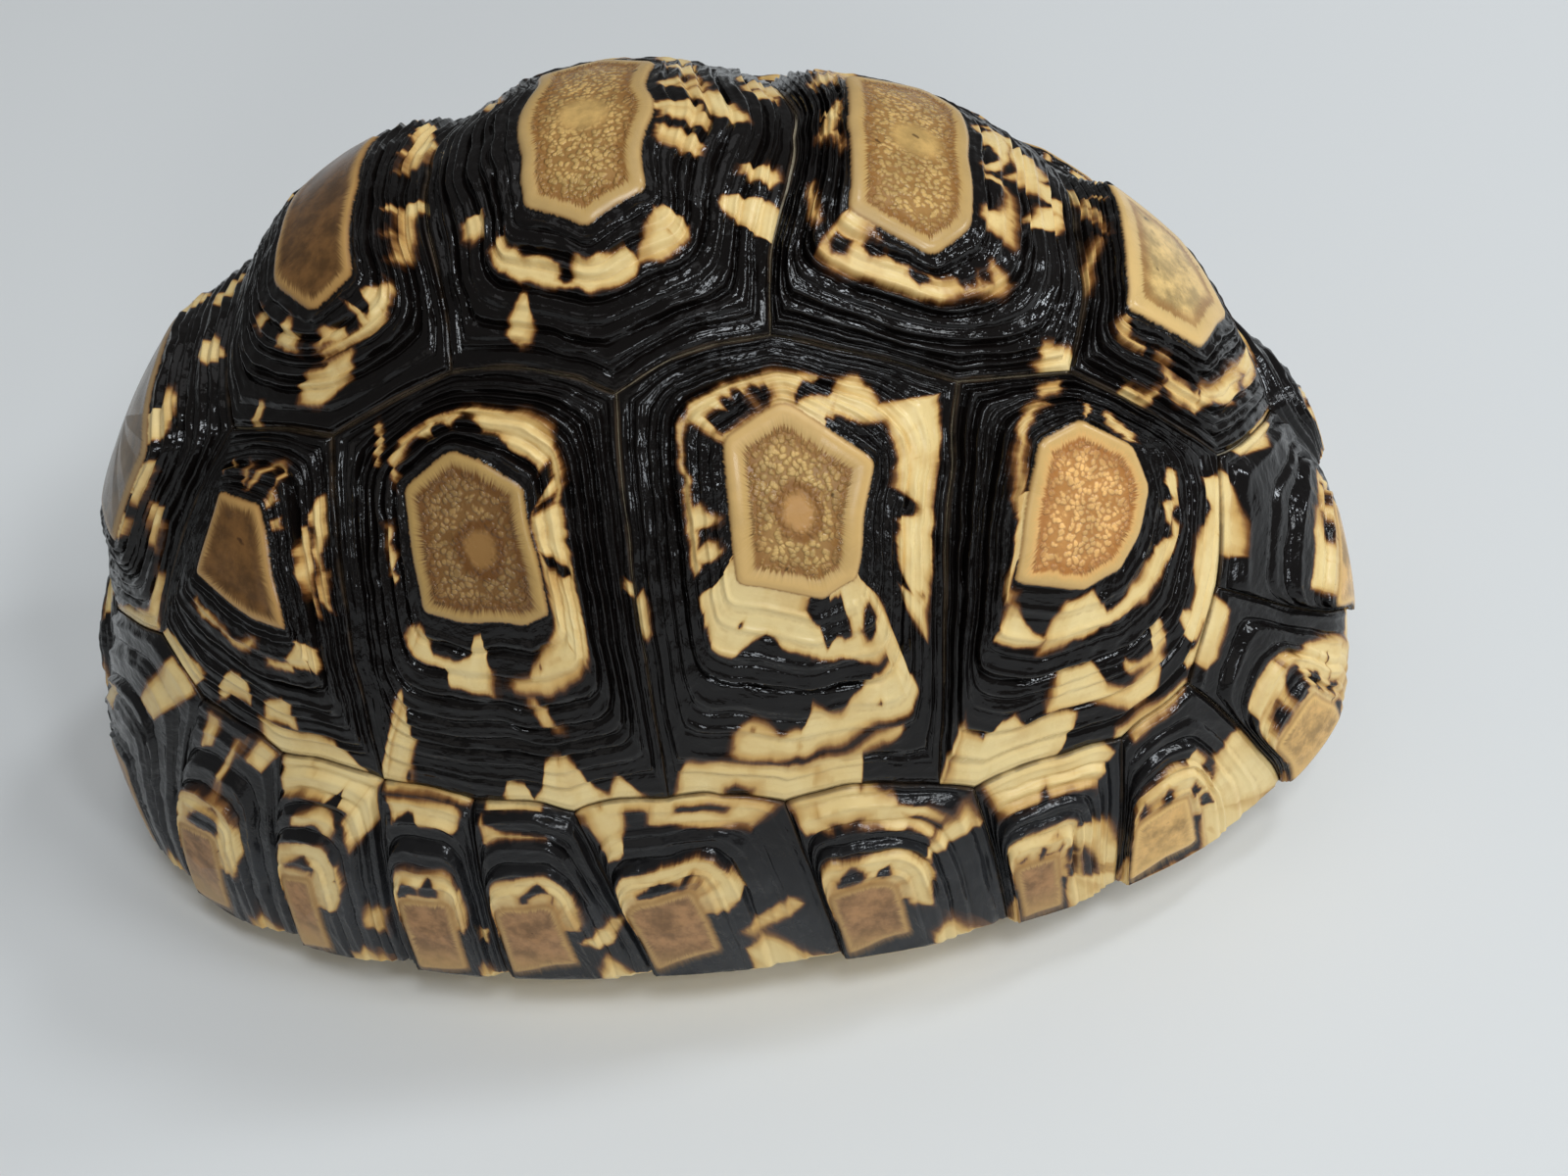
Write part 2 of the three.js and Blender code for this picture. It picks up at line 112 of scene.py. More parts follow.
def shoulder_flare(phi):
    turn = np.abs(wrapped(phi)) - math.radians(FLARE_DIRECTION)
    return FLARE_OUT * np.exp(-((turn / math.radians(FLARE_SPREAD)) ** 2))


def dome_point(phi, rho):
    to_rim = (np.maximum(0, rho - NECK_ARCH_START) / (1 - NECK_ARCH_START)) ** 1.6
    angle = np.radians(90 * rho - NECK_ARCH_ANGLE * neck_share(phi) * to_rim)
    side = np.sin(phi) ** 2
    swell = mix(1, mix(END_SWELL, SIDE_SWELL, side), smooth(0, CROWN_ROUND, rho))
    reach = rim_radius(phi) * np.maximum(np.sin(angle), 1e-9) ** swell
    reach = reach + shoulder_flare(phi) * smooth(0.7, 1, rho)
    rise = np.maximum(0, np.cos(angle)) ** mix(CROWN_SWELL_END, CROWN_SWELL_SIDE, side)
    low = rim_height(phi)
    height = low + (CROWN_HEIGHT - low) * rise
    return np.stack([reach * np.cos(phi), reach * np.sin(phi), height], -1)


def plan_normal(phi):
    at_rim = np.ones_like(phi)
    along = dome_point(phi + 0.01, at_rim) - dome_point(phi - 0.01, at_rim)
    return unit(np.stack([along[..., 1], -along[..., 0], 0 * phi], -1))


def dome_normal(phi, rho):
    rho = np.maximum(rho, 0.02)
    around = dome_point(phi + 0.01, rho) - dome_point(phi - 0.01, rho)
    down = dome_point(phi, np.minimum(1, rho + 0.01)) - dome_point(phi, rho - 0.01)
    level = smooth(0.88, 1, rho)[..., None]
    return unit(mix(unit(np.cross(down, around)), plan_normal(phi), level))


def bridge_share(x):
    return 1 - smooth(BRIDGE_FULL, BRIDGE_END, np.abs(x))


def skin(phi, rho, depth):
    """Points of the carapace, a given depth under its outer skin."""
    on_dome = np.minimum(rho, 1)
    dome = dome_point(phi, on_dome) - dome_normal(phi, on_dome) * depth[..., None]
    rim = dome_point(phi, np.ones_like(phi))
    bridge = bridge_share(rim[..., 0])
    inward = mix(FREE_IN, BRIDGE_IN, bridge)
    down = mix(FREE_DOWN, BRIDGE_DOWN, bridge)
    turn = np.clip((rho - 1) / TUCK_SPAN, 0, 1) * np.pi / 2
    out = np.maximum(0.2, inward - depth) * np.maximum(np.cos(turn), 0) ** TUCK_ROUNDNESS
    sink = np.maximum(0.2, down - depth) * np.sin(turn) ** TUCK_ROUNDNESS
    tongue = np.maximum(0, rho - 1 - TUCK_SPAN) * 30
    lip = rim + plan_normal(phi) * (out - inward - tongue)[..., None]
    lip[..., 2] -= sink
    return np.where((rho > 1)[..., None], lip, dome)


def seam_depth(places):
    return mix(SEAM_DEPTH, RIM_SEAM_DEPTH, smooth(0.8, 1, np.hypot(places[..., 0], places[..., 1])))


# ---- Repeatable unevenness ----


def scatter(cells, seed):
    """A repeatable random number from 0 to 1 for each whole-number cell."""
    x, y, z = (cells[..., axis].astype(np.uint64) for axis in range(3))
    mixed = x * np.uint64(374761393) + y * np.uint64(668265263) + z * np.uint64(2147483647)
    mixed = mixed + np.uint64(seed * 974711 + 12345)
    mixed = (mixed ^ (mixed >> np.uint64(13))) * np.uint64(1274126177)
    mixed = (mixed ^ (mixed >> np.uint64(16))) * np.uint64(2246822519)
    return ((mixed >> np.uint64(8)) & np.uint64(0xFFFFF)).astype(float) / 0xFFFFF


def drift(points, seed):
    """Smooth noise from -1 to 1, with features one unit wide."""
    low = np.floor(points)
    share = points - low
    share = share * share * (3 - 2 * share)
    total = np.zeros(points.shape[:-1])
    for corner in itertools.product((0, 1), repeat=3):
        weight = np.prod(np.where(np.array(corner) == 1, share, 1 - share), axis=-1)
        total += weight * scatter(low.astype(np.int64) + np.array(corner), seed)
    return total * 2 - 1


# ---- Where the scutes meet, on the map, for the side at +v ----

NECK_TIP = (0.82, 0)
ONE_FRONT, ONE_TWO, TWO_SIDE, TWO_THREE = (0.655, 0.17), (0.47, 0.19), (0.38, 0.26), (0.2, 0.29)
THREE_SIDE, THREE_FOUR = (0, 0.39), (-0.21, 0.29)
FOUR_SIDE, FOUR_FIVE = (-0.35, 0.27), (-0.44, 0.17)
FIVE_SIDE, FIVE_TAIL = (-0.66, 0.26), (-0.75, 0.12)
FOOT_ONE_TWO, FOOT_TWO_THREE, FOOT_THREE_FOUR = (0.46, 0.71), (-0.02, 0.82), (-0.5, 0.62)
RIM_TOPS = [
    NECK_TIP, (0.705, 0.3), (0.73, 0.41), (0.68, 0.52), (0.51, 0.69), (0.2, 0.81), (-0.21, 0.8),
    (-0.38, 0.72), FOOT_THREE_FOUR, (-0.61, 0.49), (-0.66, 0.36), FIVE_TAIL,
]
RIM_DIRECTIONS = [0, 9.3, 22.5, 40.5, 52.5, 73, 98.5, 118.5, 130.4, 143.5, 157.5, 169.5]
RIM_BENDS = {0: ONE_FRONT, 4: FOOT_ONE_TWO, 5: FOOT_TWO_THREE, 10: FIVE_SIDE}


def mirrored(front, half, rear):
    return [front, *half, rear, *[(u, -v) for u, v in reversed(half)]]


# Each scute: its outline, and the outline of its areola with one corner for each of the scute's.
VERTEBRALS = [
    (
        mirrored(NECK_TIP, [ONE_FRONT, ONE_TWO], (0.45, 0)),
        mirrored((0.635, 0), [(0.58, 0.09), (0.487, 0.105)], (0.485, 0)),
    ),
    (
        mirrored((0.45, 0), [ONE_TWO, TWO_SIDE, TWO_THREE], (0.175, 0)),
        mirrored((0.33, 0), [(0.338, 0.095), (0.316, 0.145), (0.238, 0.115)], (0.215, 0)),
    ),
    (
        mirrored((0.175, 0), [TWO_THREE, THREE_SIDE, THREE_FOUR], (-0.175, 0)),
        mirrored((0.045, 0), [(0.062, 0.142), (-0.016, 0.195), (-0.093, 0.138)], (-0.07, 0)),
    ),
    (
        mirrored((-0.175, 0), [THREE_FOUR, FOUR_SIDE, FOUR_FIVE], (-0.41, 0)),
        mirrored((-0.235, 0), [(-0.258, 0.12), (-0.303, 0.136), (-0.334, 0.07)], (-0.33, 0)),
    ),
    (
        mirrored((-0.41, 0), [FOUR_FIVE, FIVE_SIDE, FIVE_TAIL], (-0.75, 0)),
        mirrored((-0.51, 0), [(-0.53, 0.12), (-0.63, 0.15), (-0.66, 0.06)], (-0.66, 0)),
    ),
]
COSTALS = [
    (
        [ONE_TWO, ONE_FRONT, *RIM_TOPS[1:5], FOOT_ONE_TWO, TWO_SIDE],
        [
            (0.48, 0.245), (0.535, 0.24), (0.57, 0.27), (0.577, 0.32),
            (0.575, 0.365), (0.545, 0.41), (0.48, 0.445), (0.455, 0.29),
        ],
    ),
    (
        [TWO_SIDE, FOOT_ONE_TWO, RIM_TOPS[5], FOOT_TWO_THREE, THREE_SIDE, TWO_THREE],
        [(0.315, 0.39), (0.31, 0.525), (0.27, 0.56), (0.15, 0.575), (0.145, 0.425), (0.215, 0.365)],
    ),
    (
        [
            THREE_SIDE, FOOT_TWO_THREE, RIM_TOPS[6], RIM_TOPS[7], FOOT_THREE_FOUR, FOUR_SIDE,
            THREE_FOUR,
        ],
        [
            (-0.14, 0.455), (-0.14, 0.587), (-0.18, 0.59), (-0.27, 0.55),
            (-0.315, 0.515), (-0.285, 0.385), (-0.22, 0.38),
        ],
    ),
    (
        [FOUR_SIDE, FOOT_THREE_FOUR, RIM_TOPS[9], RIM_TOPS[10], FIVE_SIDE, FOUR_FIVE],
        [
            (-0.435, 0.285), (-0.48, 0.415), (-0.51, 0.375), (-0.53, 0.32), (-0.54, 0.285),
            (-0.465, 0.24),
        ],
    ),
]


def between(a, b, share):
    return (mix(a[0], b[0], share), mix(a[1], b[1], share))


def at_rim(seam, distance=1.0):
    phi = math.radians(RIM_DIRECTIONS[seam])
    return (distance * math.cos(phi), distance * math.sin(phi))


def on_marginal(seam, along, down):
    """A place on a marginal scute: along to its rear, and down from its top to its inner edge."""
    top = between(RIM_TOPS[seam], RIM_TOPS[seam + 1], along)
    rim = between(at_rim(seam), at_rim(seam + 1), along)
    if down < 0.5:
        return between(top, rim, down * 2)
    return between(rim, (rim[0] * (1 + TUCK_SPAN), rim[1] * (1 + TUCK_SPAN)), down * 2 - 1)


# Where the areola of each marginal scute lies: along from .. to, down from .. to.
MARGINAL_AREOLAS = [
    (0.4, 0.97, 0.28, 0.6), (0.5, 0.93, 0.33, 0.56), (0.55, 0.95, 0.29, 0.5),
    (0.52, 0.89, 0.29, 0.5), (0.55, 0.95, 0.29, 0.5), (0.6, 0.98, 0.29, 0.5),
    (0.48, 0.94, 0.29, 0.5), (0.34, 0.9, 0.29, 0.5), (0.67, 0.97, 0.29, 0.5),
    (0.55, 0.95, 0.29, 0.5), (0.55, 0.95, 0.29, 0.5),
]


def marginal(seam):
    bend = [RIM_BENDS[seam]] if seam in RIM_BENDS else []
    lip = 1 + TUCK_SPAN
    outline = [
        RIM_TOPS[seam], *bend, RIM_TOPS[seam + 1],
        at_rim(seam + 1), at_rim(seam + 1, lip), at_rim(seam, lip), at_rim(seam),
    ]
    front, rear, top, foot = MARGINAL_AREOLAS[seam]
    middle, half = (front + rear) / 2, (top + foot) / 2
    corners = [
        (front, top), *([(middle, top)] if bend else []), (rear, top),
        (rear, half), (rear, foot), (front, foot), (front, half),
    ]
    return outline, [on_marginal(seam, along, down) for along, down in corners]


SUPRACAUDAL = (
    [FIVE_TAIL, at_rim(11), at_rim(11, 1 + TUCK_SPAN)],
    [(-0.86, 0.05), (-0.92, 0.07), (-0.99, 0.06)],
)


def both_halves(half):
    return [*half, *[(u, -v) for u, v in reversed(half)]]


# ---- The pattern: patches laid one over another on the black horn ----

# Each patch is a list of places along its length, in hundredths: towards which corner of the
# outline, from which ring, and to which ring. A ring below 0 lets it run under the areola.

CREAM, BLACK = 1, -1


def patch(kind, places):
    return (kind, tuple(tuple(value / 100 for value in place) for place in places))


def cream(*places):
    return patch(CREAM, places)


def black(*places):
    return patch(BLACK, places)


VERTEBRAL_PATTERNS = [
    [
        cream((-40, 50, 60), (-10, 36, 56), (20, 34, 55), (40, 34, 48), (68, 35, 66), (90, 35, 60),
              (100, 36, 58), (110, 38, 66), (120, 50, 74), (135, 48, 78), (145, 42, 70),
              (150, 30, 50)),
        black((110, 30, 42), (120, 36, 50), (138, 36, 48)),
        cream((142, 28, 40), (150, 26, 38), (158, 30, 34)),
        cream((168, 30, 40), (180, 28, 40), (190, 15, 38), (200, 10, 36), (205, 20, 32)),
        cream((150, 65, 75), (160, 80, 105), (172, 80, 110), (175, 90, 100)),
        cream((250, 95, 110), (260, 80, 110), (275, 68, 95), (290, 55, 80), (295, 50, 60)),
        cream((302, 25, 40), (315, 40, 65), (330, 50, 78), (340, 60, 72)),
        cream((345, 50, 60), (350, 30, 50), (355, 15, 30)),
        cream((0, 97, 110), (30, 94, 110), (60, 97, 110)),
    ],
    [
        cream((5, 10, 18), (12, 12, 30), (20, 25, 32), (30, 26, 35), (45, 20, 36), (60, 8, 37),
              (70, 5, 36), (76, 6, 34)),
        cream((2, 80, 85), (8, 62, 86), (15, 55, 85), (22, 48, 75), (36, 40, 48)),
        cream((100, 24, 42), (110, 25, 46), (125, 28, 47), (140, 28, 45), (150, 32, 40),
              (170, 30, 38), (175, 20, 36), (185, 18, 36), (205, 20, 42), (240, 20, 43),
              (250, 15, 43), (270, 2, 43), (285, 0, 43), (300, 2, 43), (304, 8, 30)),
        black((120, 20, 30), (128, 25, 36), (138, 25, 34)),
        black((250, 5, 18), (260, 10, 24), (270, 5, 16)),
        black((278, 16, 28), (288, 20, 34), (295, 20, 28)),
        black((210, 20, 26), (220, 20, 30), (228, 20, 25)),
        cream((90, 95, 110), (100, 82, 110), (112, 82, 110), (120, 90, 110), (130, 94, 110)),
        cream((320, 30, 36), (335, 38, 50), (350, 48, 62), (362, 56, 68)),
        cream((375, 10, 16), (388, 10, 30), (395, 20, 50), (410, 18, 55), (415, 30, 55)),
        cream((450, 30, 50), (470, 12, 45), (485, 5, 30), (495, 0, 15)),
        cream((720, 15, 25), (735, 30, 40), (745, 34, 55), (760, 34, 68), (770, 34, 72),
              (780, 36, 64), (790, 40, 85), (800, 25, 85)),
    ],
    [
        cream((0, 2, 36), (10, 2, 36)), cream((17, 5, 30), (22, 4, 40), (30, 6, 40), (34, 10, 30)),
        cream((88, 35, 40), (95, 18, 42), (105, 12, 42), (120, 16, 42), (135, 22, 43),
              (145, 30, 42), (152, 36, 40), (158, 24, 45), (175, 24, 45), (195, 20, 44),
              (210, 22, 44), (225, 26, 46), (240, 32, 48), (255, 28, 48), (275, 30, 47),
              (290, 26, 44), (310, 25, 42), (315, 34, 42)),
        black((224, 20, 40), (230, 20, 43), (237, 20, 40)),
        cream((20, 85, 90), (25, 65, 95), (32, 66, 90)),
        cream((38, 90, 110), (48, 65, 110), (58, 60, 110), (62, 62, 70)),
        cream((255, 70, 85), (262, 55, 88), (270, 50, 80)),
        cream((335, 50, 60), (345, 45, 70), (352, 45, 68), (356, 60, 66)),
        cream((720, 10, 20), (730, 15, 35), (745, 22, 38), (760, 35, 38)),
        cream((772, 15, 40), (785, 25, 50), (795, 35, 62), (802, 40, 62)),
    ],
    [
        cream((12, 100, 110), (15, 70, 105), (22, 62, 90), (35, 60, 82), (50, 50, 72),
              (60, 42, 55)),
        cream((18, 50, 70), (24, 40, 62)), cream((36, 50, 62), (42, 42, 54)),
        cream((80, 38, 42), (88, 25, 40), (98, 15, 40), (110, 15, 42), (120, 28, 44), (140, 36, 46),
              (160, 38, 46), (180, 35, 46), (202, 35, 46)),
        cream((125, 32, 40), (132, 15, 40), (140, 12, 38)),
        cream((160, 30, 40), (175, 24, 40), (185, 20, 36), (200, 22, 36), (208, 30, 36)),
        cream((162, 48, 52), (170, 48, 68), (185, 48, 74), (200, 48, 76), (215, 50, 82),
              (225, 60, 82), (230, 65, 80)),
        cream((230, 32, 40), (242, 15, 40), (250, 14, 38), (260, 30, 38)),
        cream((270, 80, 110), (278, 82, 110), (280, 95, 110)),
        cream((290, 30, 36), (295, 20, 36), (310, 20, 36)),
        cream((770, 62, 80), (775, 60, 100), (790, 60, 100), (795, 55, 85)),
    ],
    [
        cream((18, 65, 80), (30, 60, 90), (45, 75, 100)),
        cream((50, 25, 32), (65, 20, 40), (80, 0, 30), (95, 10, 25)),
        cream((110, -10, 25), (125, 0, 30), (145, 2, 28), (155, 10, 15)),
        cream((145, 35, 60), (155, 35, 65), (168, 50, 68)),
        cream((165, 0, 20), (180, -10, 15), (195, -10, 5)),
        cream((175, 75, 90), (200, 75, 95), (230, 82, 110), (300, 95, 110)),
        cream((320, 30, 50), (340, 30, 60), (360, 40, 55)),
    ],
]
COSTAL_PATTERNS = [
    [
        cream((2, 20, 50), (8, 10, 50), (12, 30, 40)),
        cream((25, 30, 42), (35, 15, 38), (50, 8, 30), (65, 5, 22), (85, 3, 10)),
        cream((130, 30, 38), (140, 25, 38), (150, 22, 38), (160, 26, 36), (170, 30, 36),
              (185, 20, 30), (195, 18, 27), (210, 20, 28), (220, 22, 27)),
        cream((200, 26, 36), (230, 31, 37), (250, 22, 35), (270, 17, 31), (300, 15, 29),
              (320, 15, 29), (340, 16, 31), (360, 15, 29), (400, 16, 26), (420, 18, 27),
              (430, 14, 28), (450, 8, 31), (460, 4, 31), (490, 3, 33), (500, 5, 33)),
        cream((495, 24, 29), (530, 22, 30), (550, 18, 31), (575, 11, 31), (602, 9, 31)),
        cream((115, 90, 110), (120, 70, 110), (135, 72, 110), (145, 82, 110), (160, 75, 110),
              (175, 65, 110), (190, 60, 110), (210, 62, 110), (220, 65, 104), (240, 70, 97),
              (260, 68, 93), (275, 62, 86), (286, 62, 76)),
        cream((230, 98, 110), (260, 94, 110), (285, 90, 98), (295, 90, 94)),
        cream((315, 50, 60), (322, 46, 66), (340, 48, 68), (345, 61, 70), (370, 61, 68),
              (385, 58, 66), (397, 52, 62)),
        cream((330, 64, 72), (345, 64, 84), (360, 66, 90), (375, 68, 92), (390, 70, 88),
              (400, 70, 84), (415, 64, 78), (425, 54, 74), (435, 47, 74), (460, 46, 72),
              (463, 50, 70)),
        cream((435, 78, 82), (445, 75, 110), (475, 72, 110), (490, 64, 110), (500, 66, 110),
              (510, 70, 110), (525, 76, 110), (550, 74, 110), (580, 72, 110), (602, 70, 110)),
        cream((300, 96, 110), (330, 95, 110), (360, 93, 110), (405, 94, 110)),
        cream((600, 5, 12), (615, 2, 15), (630, -10, 10), (650, -10, 10), (665, 5, 22),
              (680, 10, 28), (695, 15, 30), (705, 20, 34), (720, 24, 40), (735, 32, 48),
              (745, 36, 50), (760, 38, 46)),
        cream((755, 50, 62), (765, 55, 78), (778, 62, 85), (785, 75, 88)),
    ],
    [
        cream((-56, 15, 60), (-46, 16, 74), (-35, 20, 62), (-20, 28, 52), (-10, 36, 66),
              (0, 32, 84), (10, 30, 85), (25, 30, 84), (29, 44, 84), (33, 64, 82), (37, 55, 82),
              (40, 40, 82), (50, 36, 82), (60, 40, 80), (64, 60, 80), (67, 42, 80), (72, 50, 78)),
        cream((86, 20, 26), (93, 2, 66), (100, -10, 38), (130, -10, 37), (150, -10, 32),
              (200, -10, 28), (230, -10, 27), (250, -10, 21), (262, -10, 25), (275, -10, 33),
              (300, -10, 33), (310, 0, 30), (320, 15, 33), (325, 30, 33)),
        black((97, 14, 20), (108, 14, 24), (120, 20, 26)),
        black((142, 15, 22), (150, 6, 23), (155, 3, 20), (164, 3, 20), (172, 2, 25), (180, 0, 20),
              (195, -10, 13), (210, -10, 10), (220, 2, 6)),
        cream((90, 60, 68), (100, 40, 67), (125, 42, 69), (140, 50, 72), (150, 53, 75),
              (160, 60, 78), (175, 58, 79), (188, 52, 80), (193, 66, 80), (210, 68, 82),
              (230, 62, 82), (240, 62, 82), (250, 70, 80)),
        cream((110, 70, 73), (125, 72, 80), (145, 78, 84), (150, 80, 110), (200, 83, 110),
              (250, 83, 110), (290, 84, 110), (298, 90, 110)),
        black((230, 97, 110), (240, 94, 110), (247, 97, 110)),
        cream((330, 8, 14), (338, 10, 30), (345, 20, 36)),
        cream((348, 8, 15), (355, 12, 35), (362, 22, 38)),
        cream((335, 28, 37), (360, 28, 38), (385, 35, 40), (400, 34, 46)),
        cream((398, -10, 43), (420, -10, 47), (460, -10, 47), (500, -10, 50), (530, 0, 55),
              (542, 10, 60), (550, 12, 62)),
        black((408, 6, 12), (415, 4, 26), (430, 4, 28), (435, 5, 20), (440, 4, 33), (445, 3, 34),
              (450, 3, 24), (456, 3, 36), (460, 3, 37), (464, 3, 20)),
        black((468, 2, 30), (474, 2, 35), (480, 4, 26), (485, 10, 33), (488, 15, 20)),
        black((512, 5, 15), (520, 15, 38), (530, 25, 42), (535, 30, 58), (542, 35, 62),
              (545, 45, 60)),
        cream((338, 88, 95), (345, 86, 110), (350, 90, 110)),
    ],
    [
        cream((-5, 30, 42), (10, 30, 42), (16, 12, 40), (25, 2, 37), (50, 2, 38), (75, 3, 38),
              (90, 4, 37), (100, 4, 33), (125, 8, 34), (150, 12, 36), (175, 15, 37), (190, 18, 37),
              (205, 26, 37), (235, 28, 36), (240, 30, 33)),
        black((53, 5, 30), (57, 8, 34), (61, 12, 20)), black((19, 10, 30), (22, 10, 30)),
        cream((185, 53, 57), (195, 45, 57), (205, 38, 53), (215, 37, 43)),
        cream((258, 24, 38), (265, 20, 38), (270, 5, 38), (280, 6, 38), (288, 16, 38),
              (310, 21, 38), (325, 21, 37), (335, 22, 28), (355, 22, 28), (370, 14, 27),
              (380, 9, 26), (400, 8, 25), (408, 14, 26), (412, 20, 26)),
        cream((438, 22, 27), (450, 20, 31), (470, 22, 34)),
        cream((495, 12, 15), (505, 15, 30), (515, 28, 42), (530, 34, 50), (555, 42, 52),
              (562, 36, 52), (572, 30, 52), (580, 42, 53), (590, 40, 52), (600, 34, 52),
              (610, 46, 54), (620, 40, 56), (630, 30, 56), (645, 28, 57), (655, 22, 58),
              (670, 18, 58), (685, 20, 55), (695, 18, 44), (702, 15, 36)),
        cream((498, 45, 55), (510, 50, 63), (520, 60, 73), (526, 74, 86), (533, 78, 88)),
        cream((125, 98, 110), (135, 92, 110), (145, 86, 110), (155, 90, 110), (162, 96, 110),
              (175, 90, 110), (185, 75, 110), (195, 69, 110), (210, 69, 110), (220, 74, 110),
              (228, 90, 110), (238, 98, 110), (245, 90, 110), (265, 87, 110), (272, 97, 110)),
        cream((368, 70, 110), (375, 70, 110), (385, 62, 110), (392, 50, 110), (400, 48, 110),
              (403, 60, 110)),
        cream((46, 92, 110), (50, 90, 110)),
    ],
    [
        cream((0, 10, 28), (8, 10, 28)), cream((18, 10, 28), (24, 10, 25)),
        cream((25, 48, 58), (35, 35, 60), (45, 36, 60), (60, 52, 60)),
        cream((17, 80, 90), (22, 62, 88), (35, 60, 75), (42, 65, 72)),
        cream((40, 64, 80), (48, 62, 82), (54, 70, 82)),
        cream((80, 40, 44), (88, 20, 42), (98, 10, 30), (110, 12, 28), (120, 16, 28),
              (140, 22, 28)),
        cream((130, 25, 31), (185, 25, 31)),
        cream((200, 14, 20), (220, 18, 28), (240, 23, 31), (290, 21, 29), (320, 20, 30),
              (360, 20, 27)),
        cream((170, 58, 78), (178, 54, 76), (195, 60, 76), (210, 66, 78)),
        cream((115, 98, 110), (125, 88, 110), (135, 82, 110), (160, 80, 110), (195, 78, 110),
              (210, 78, 110), (222, 82, 105)),
        cream((230, 62, 75), (240, 56, 76), (260, 58, 80), (270, 65, 90), (280, 80, 94)),
        cream((300, 75, 80), (320, 74, 100), (350, 78, 110), (380, 80, 110), (398, 85, 110)),
        cream((550, 15, 25), (556, 12, 42), (565, 30, 50), (575, 48, 60), (585, 50, 60),
              (593, 40, 55), (600, 20, 40)),
        cream((500, 35, 48), (515, 40, 52)), cream((536, 30, 48), (545, 15, 36)),
    ],
]
PALE_SKIRT = cream((210, 55, 90), (230, 30, 110), (260, 20, 110), (460, 20, 110), (490, 40, 110))
WIDE_SKIRT = cream((195, 25, 110), (210, 10, 110), (260, 5, 110), (460, 5, 110), (508, 10, 110))
PALE_SKIRT_BENT = cream(
    (310, 55, 90), (330, 30, 110), (360, 20, 110), (560, 20, 110), (590, 40, 110),
)


def honey_arch(last, *teeth):
    """A band over the areola of a marginal scute and down its front, with black teeth in it.

    last is the corner at the rear end of the scute's top. Each tooth is where, width and height.
    """
    foot = last + 4
    band = cream(
        (-40, -10, 40), (-10, -10, 34), (20 * last, -10, 36), (60 * last, -10, 32),
        (100 * last, -10, 32), (100 * last + 25, -10, 18), (100 * last + 80, -10, 10),
    )
    front = cream(
        (100 * foot + 15, -10, 20), (100 * foot + 50, -10, 42), (100 * foot + 80, -10, 38),
    )
    bites = [
        [((at - wide / 2) * last, 5, 10), (at * last, 3, high), ((at + wide / 2) * last, 5, 10)]
        for at, wide, high in teeth
    ]
    return [band, front, *[black(*bite) for bite in bites]]


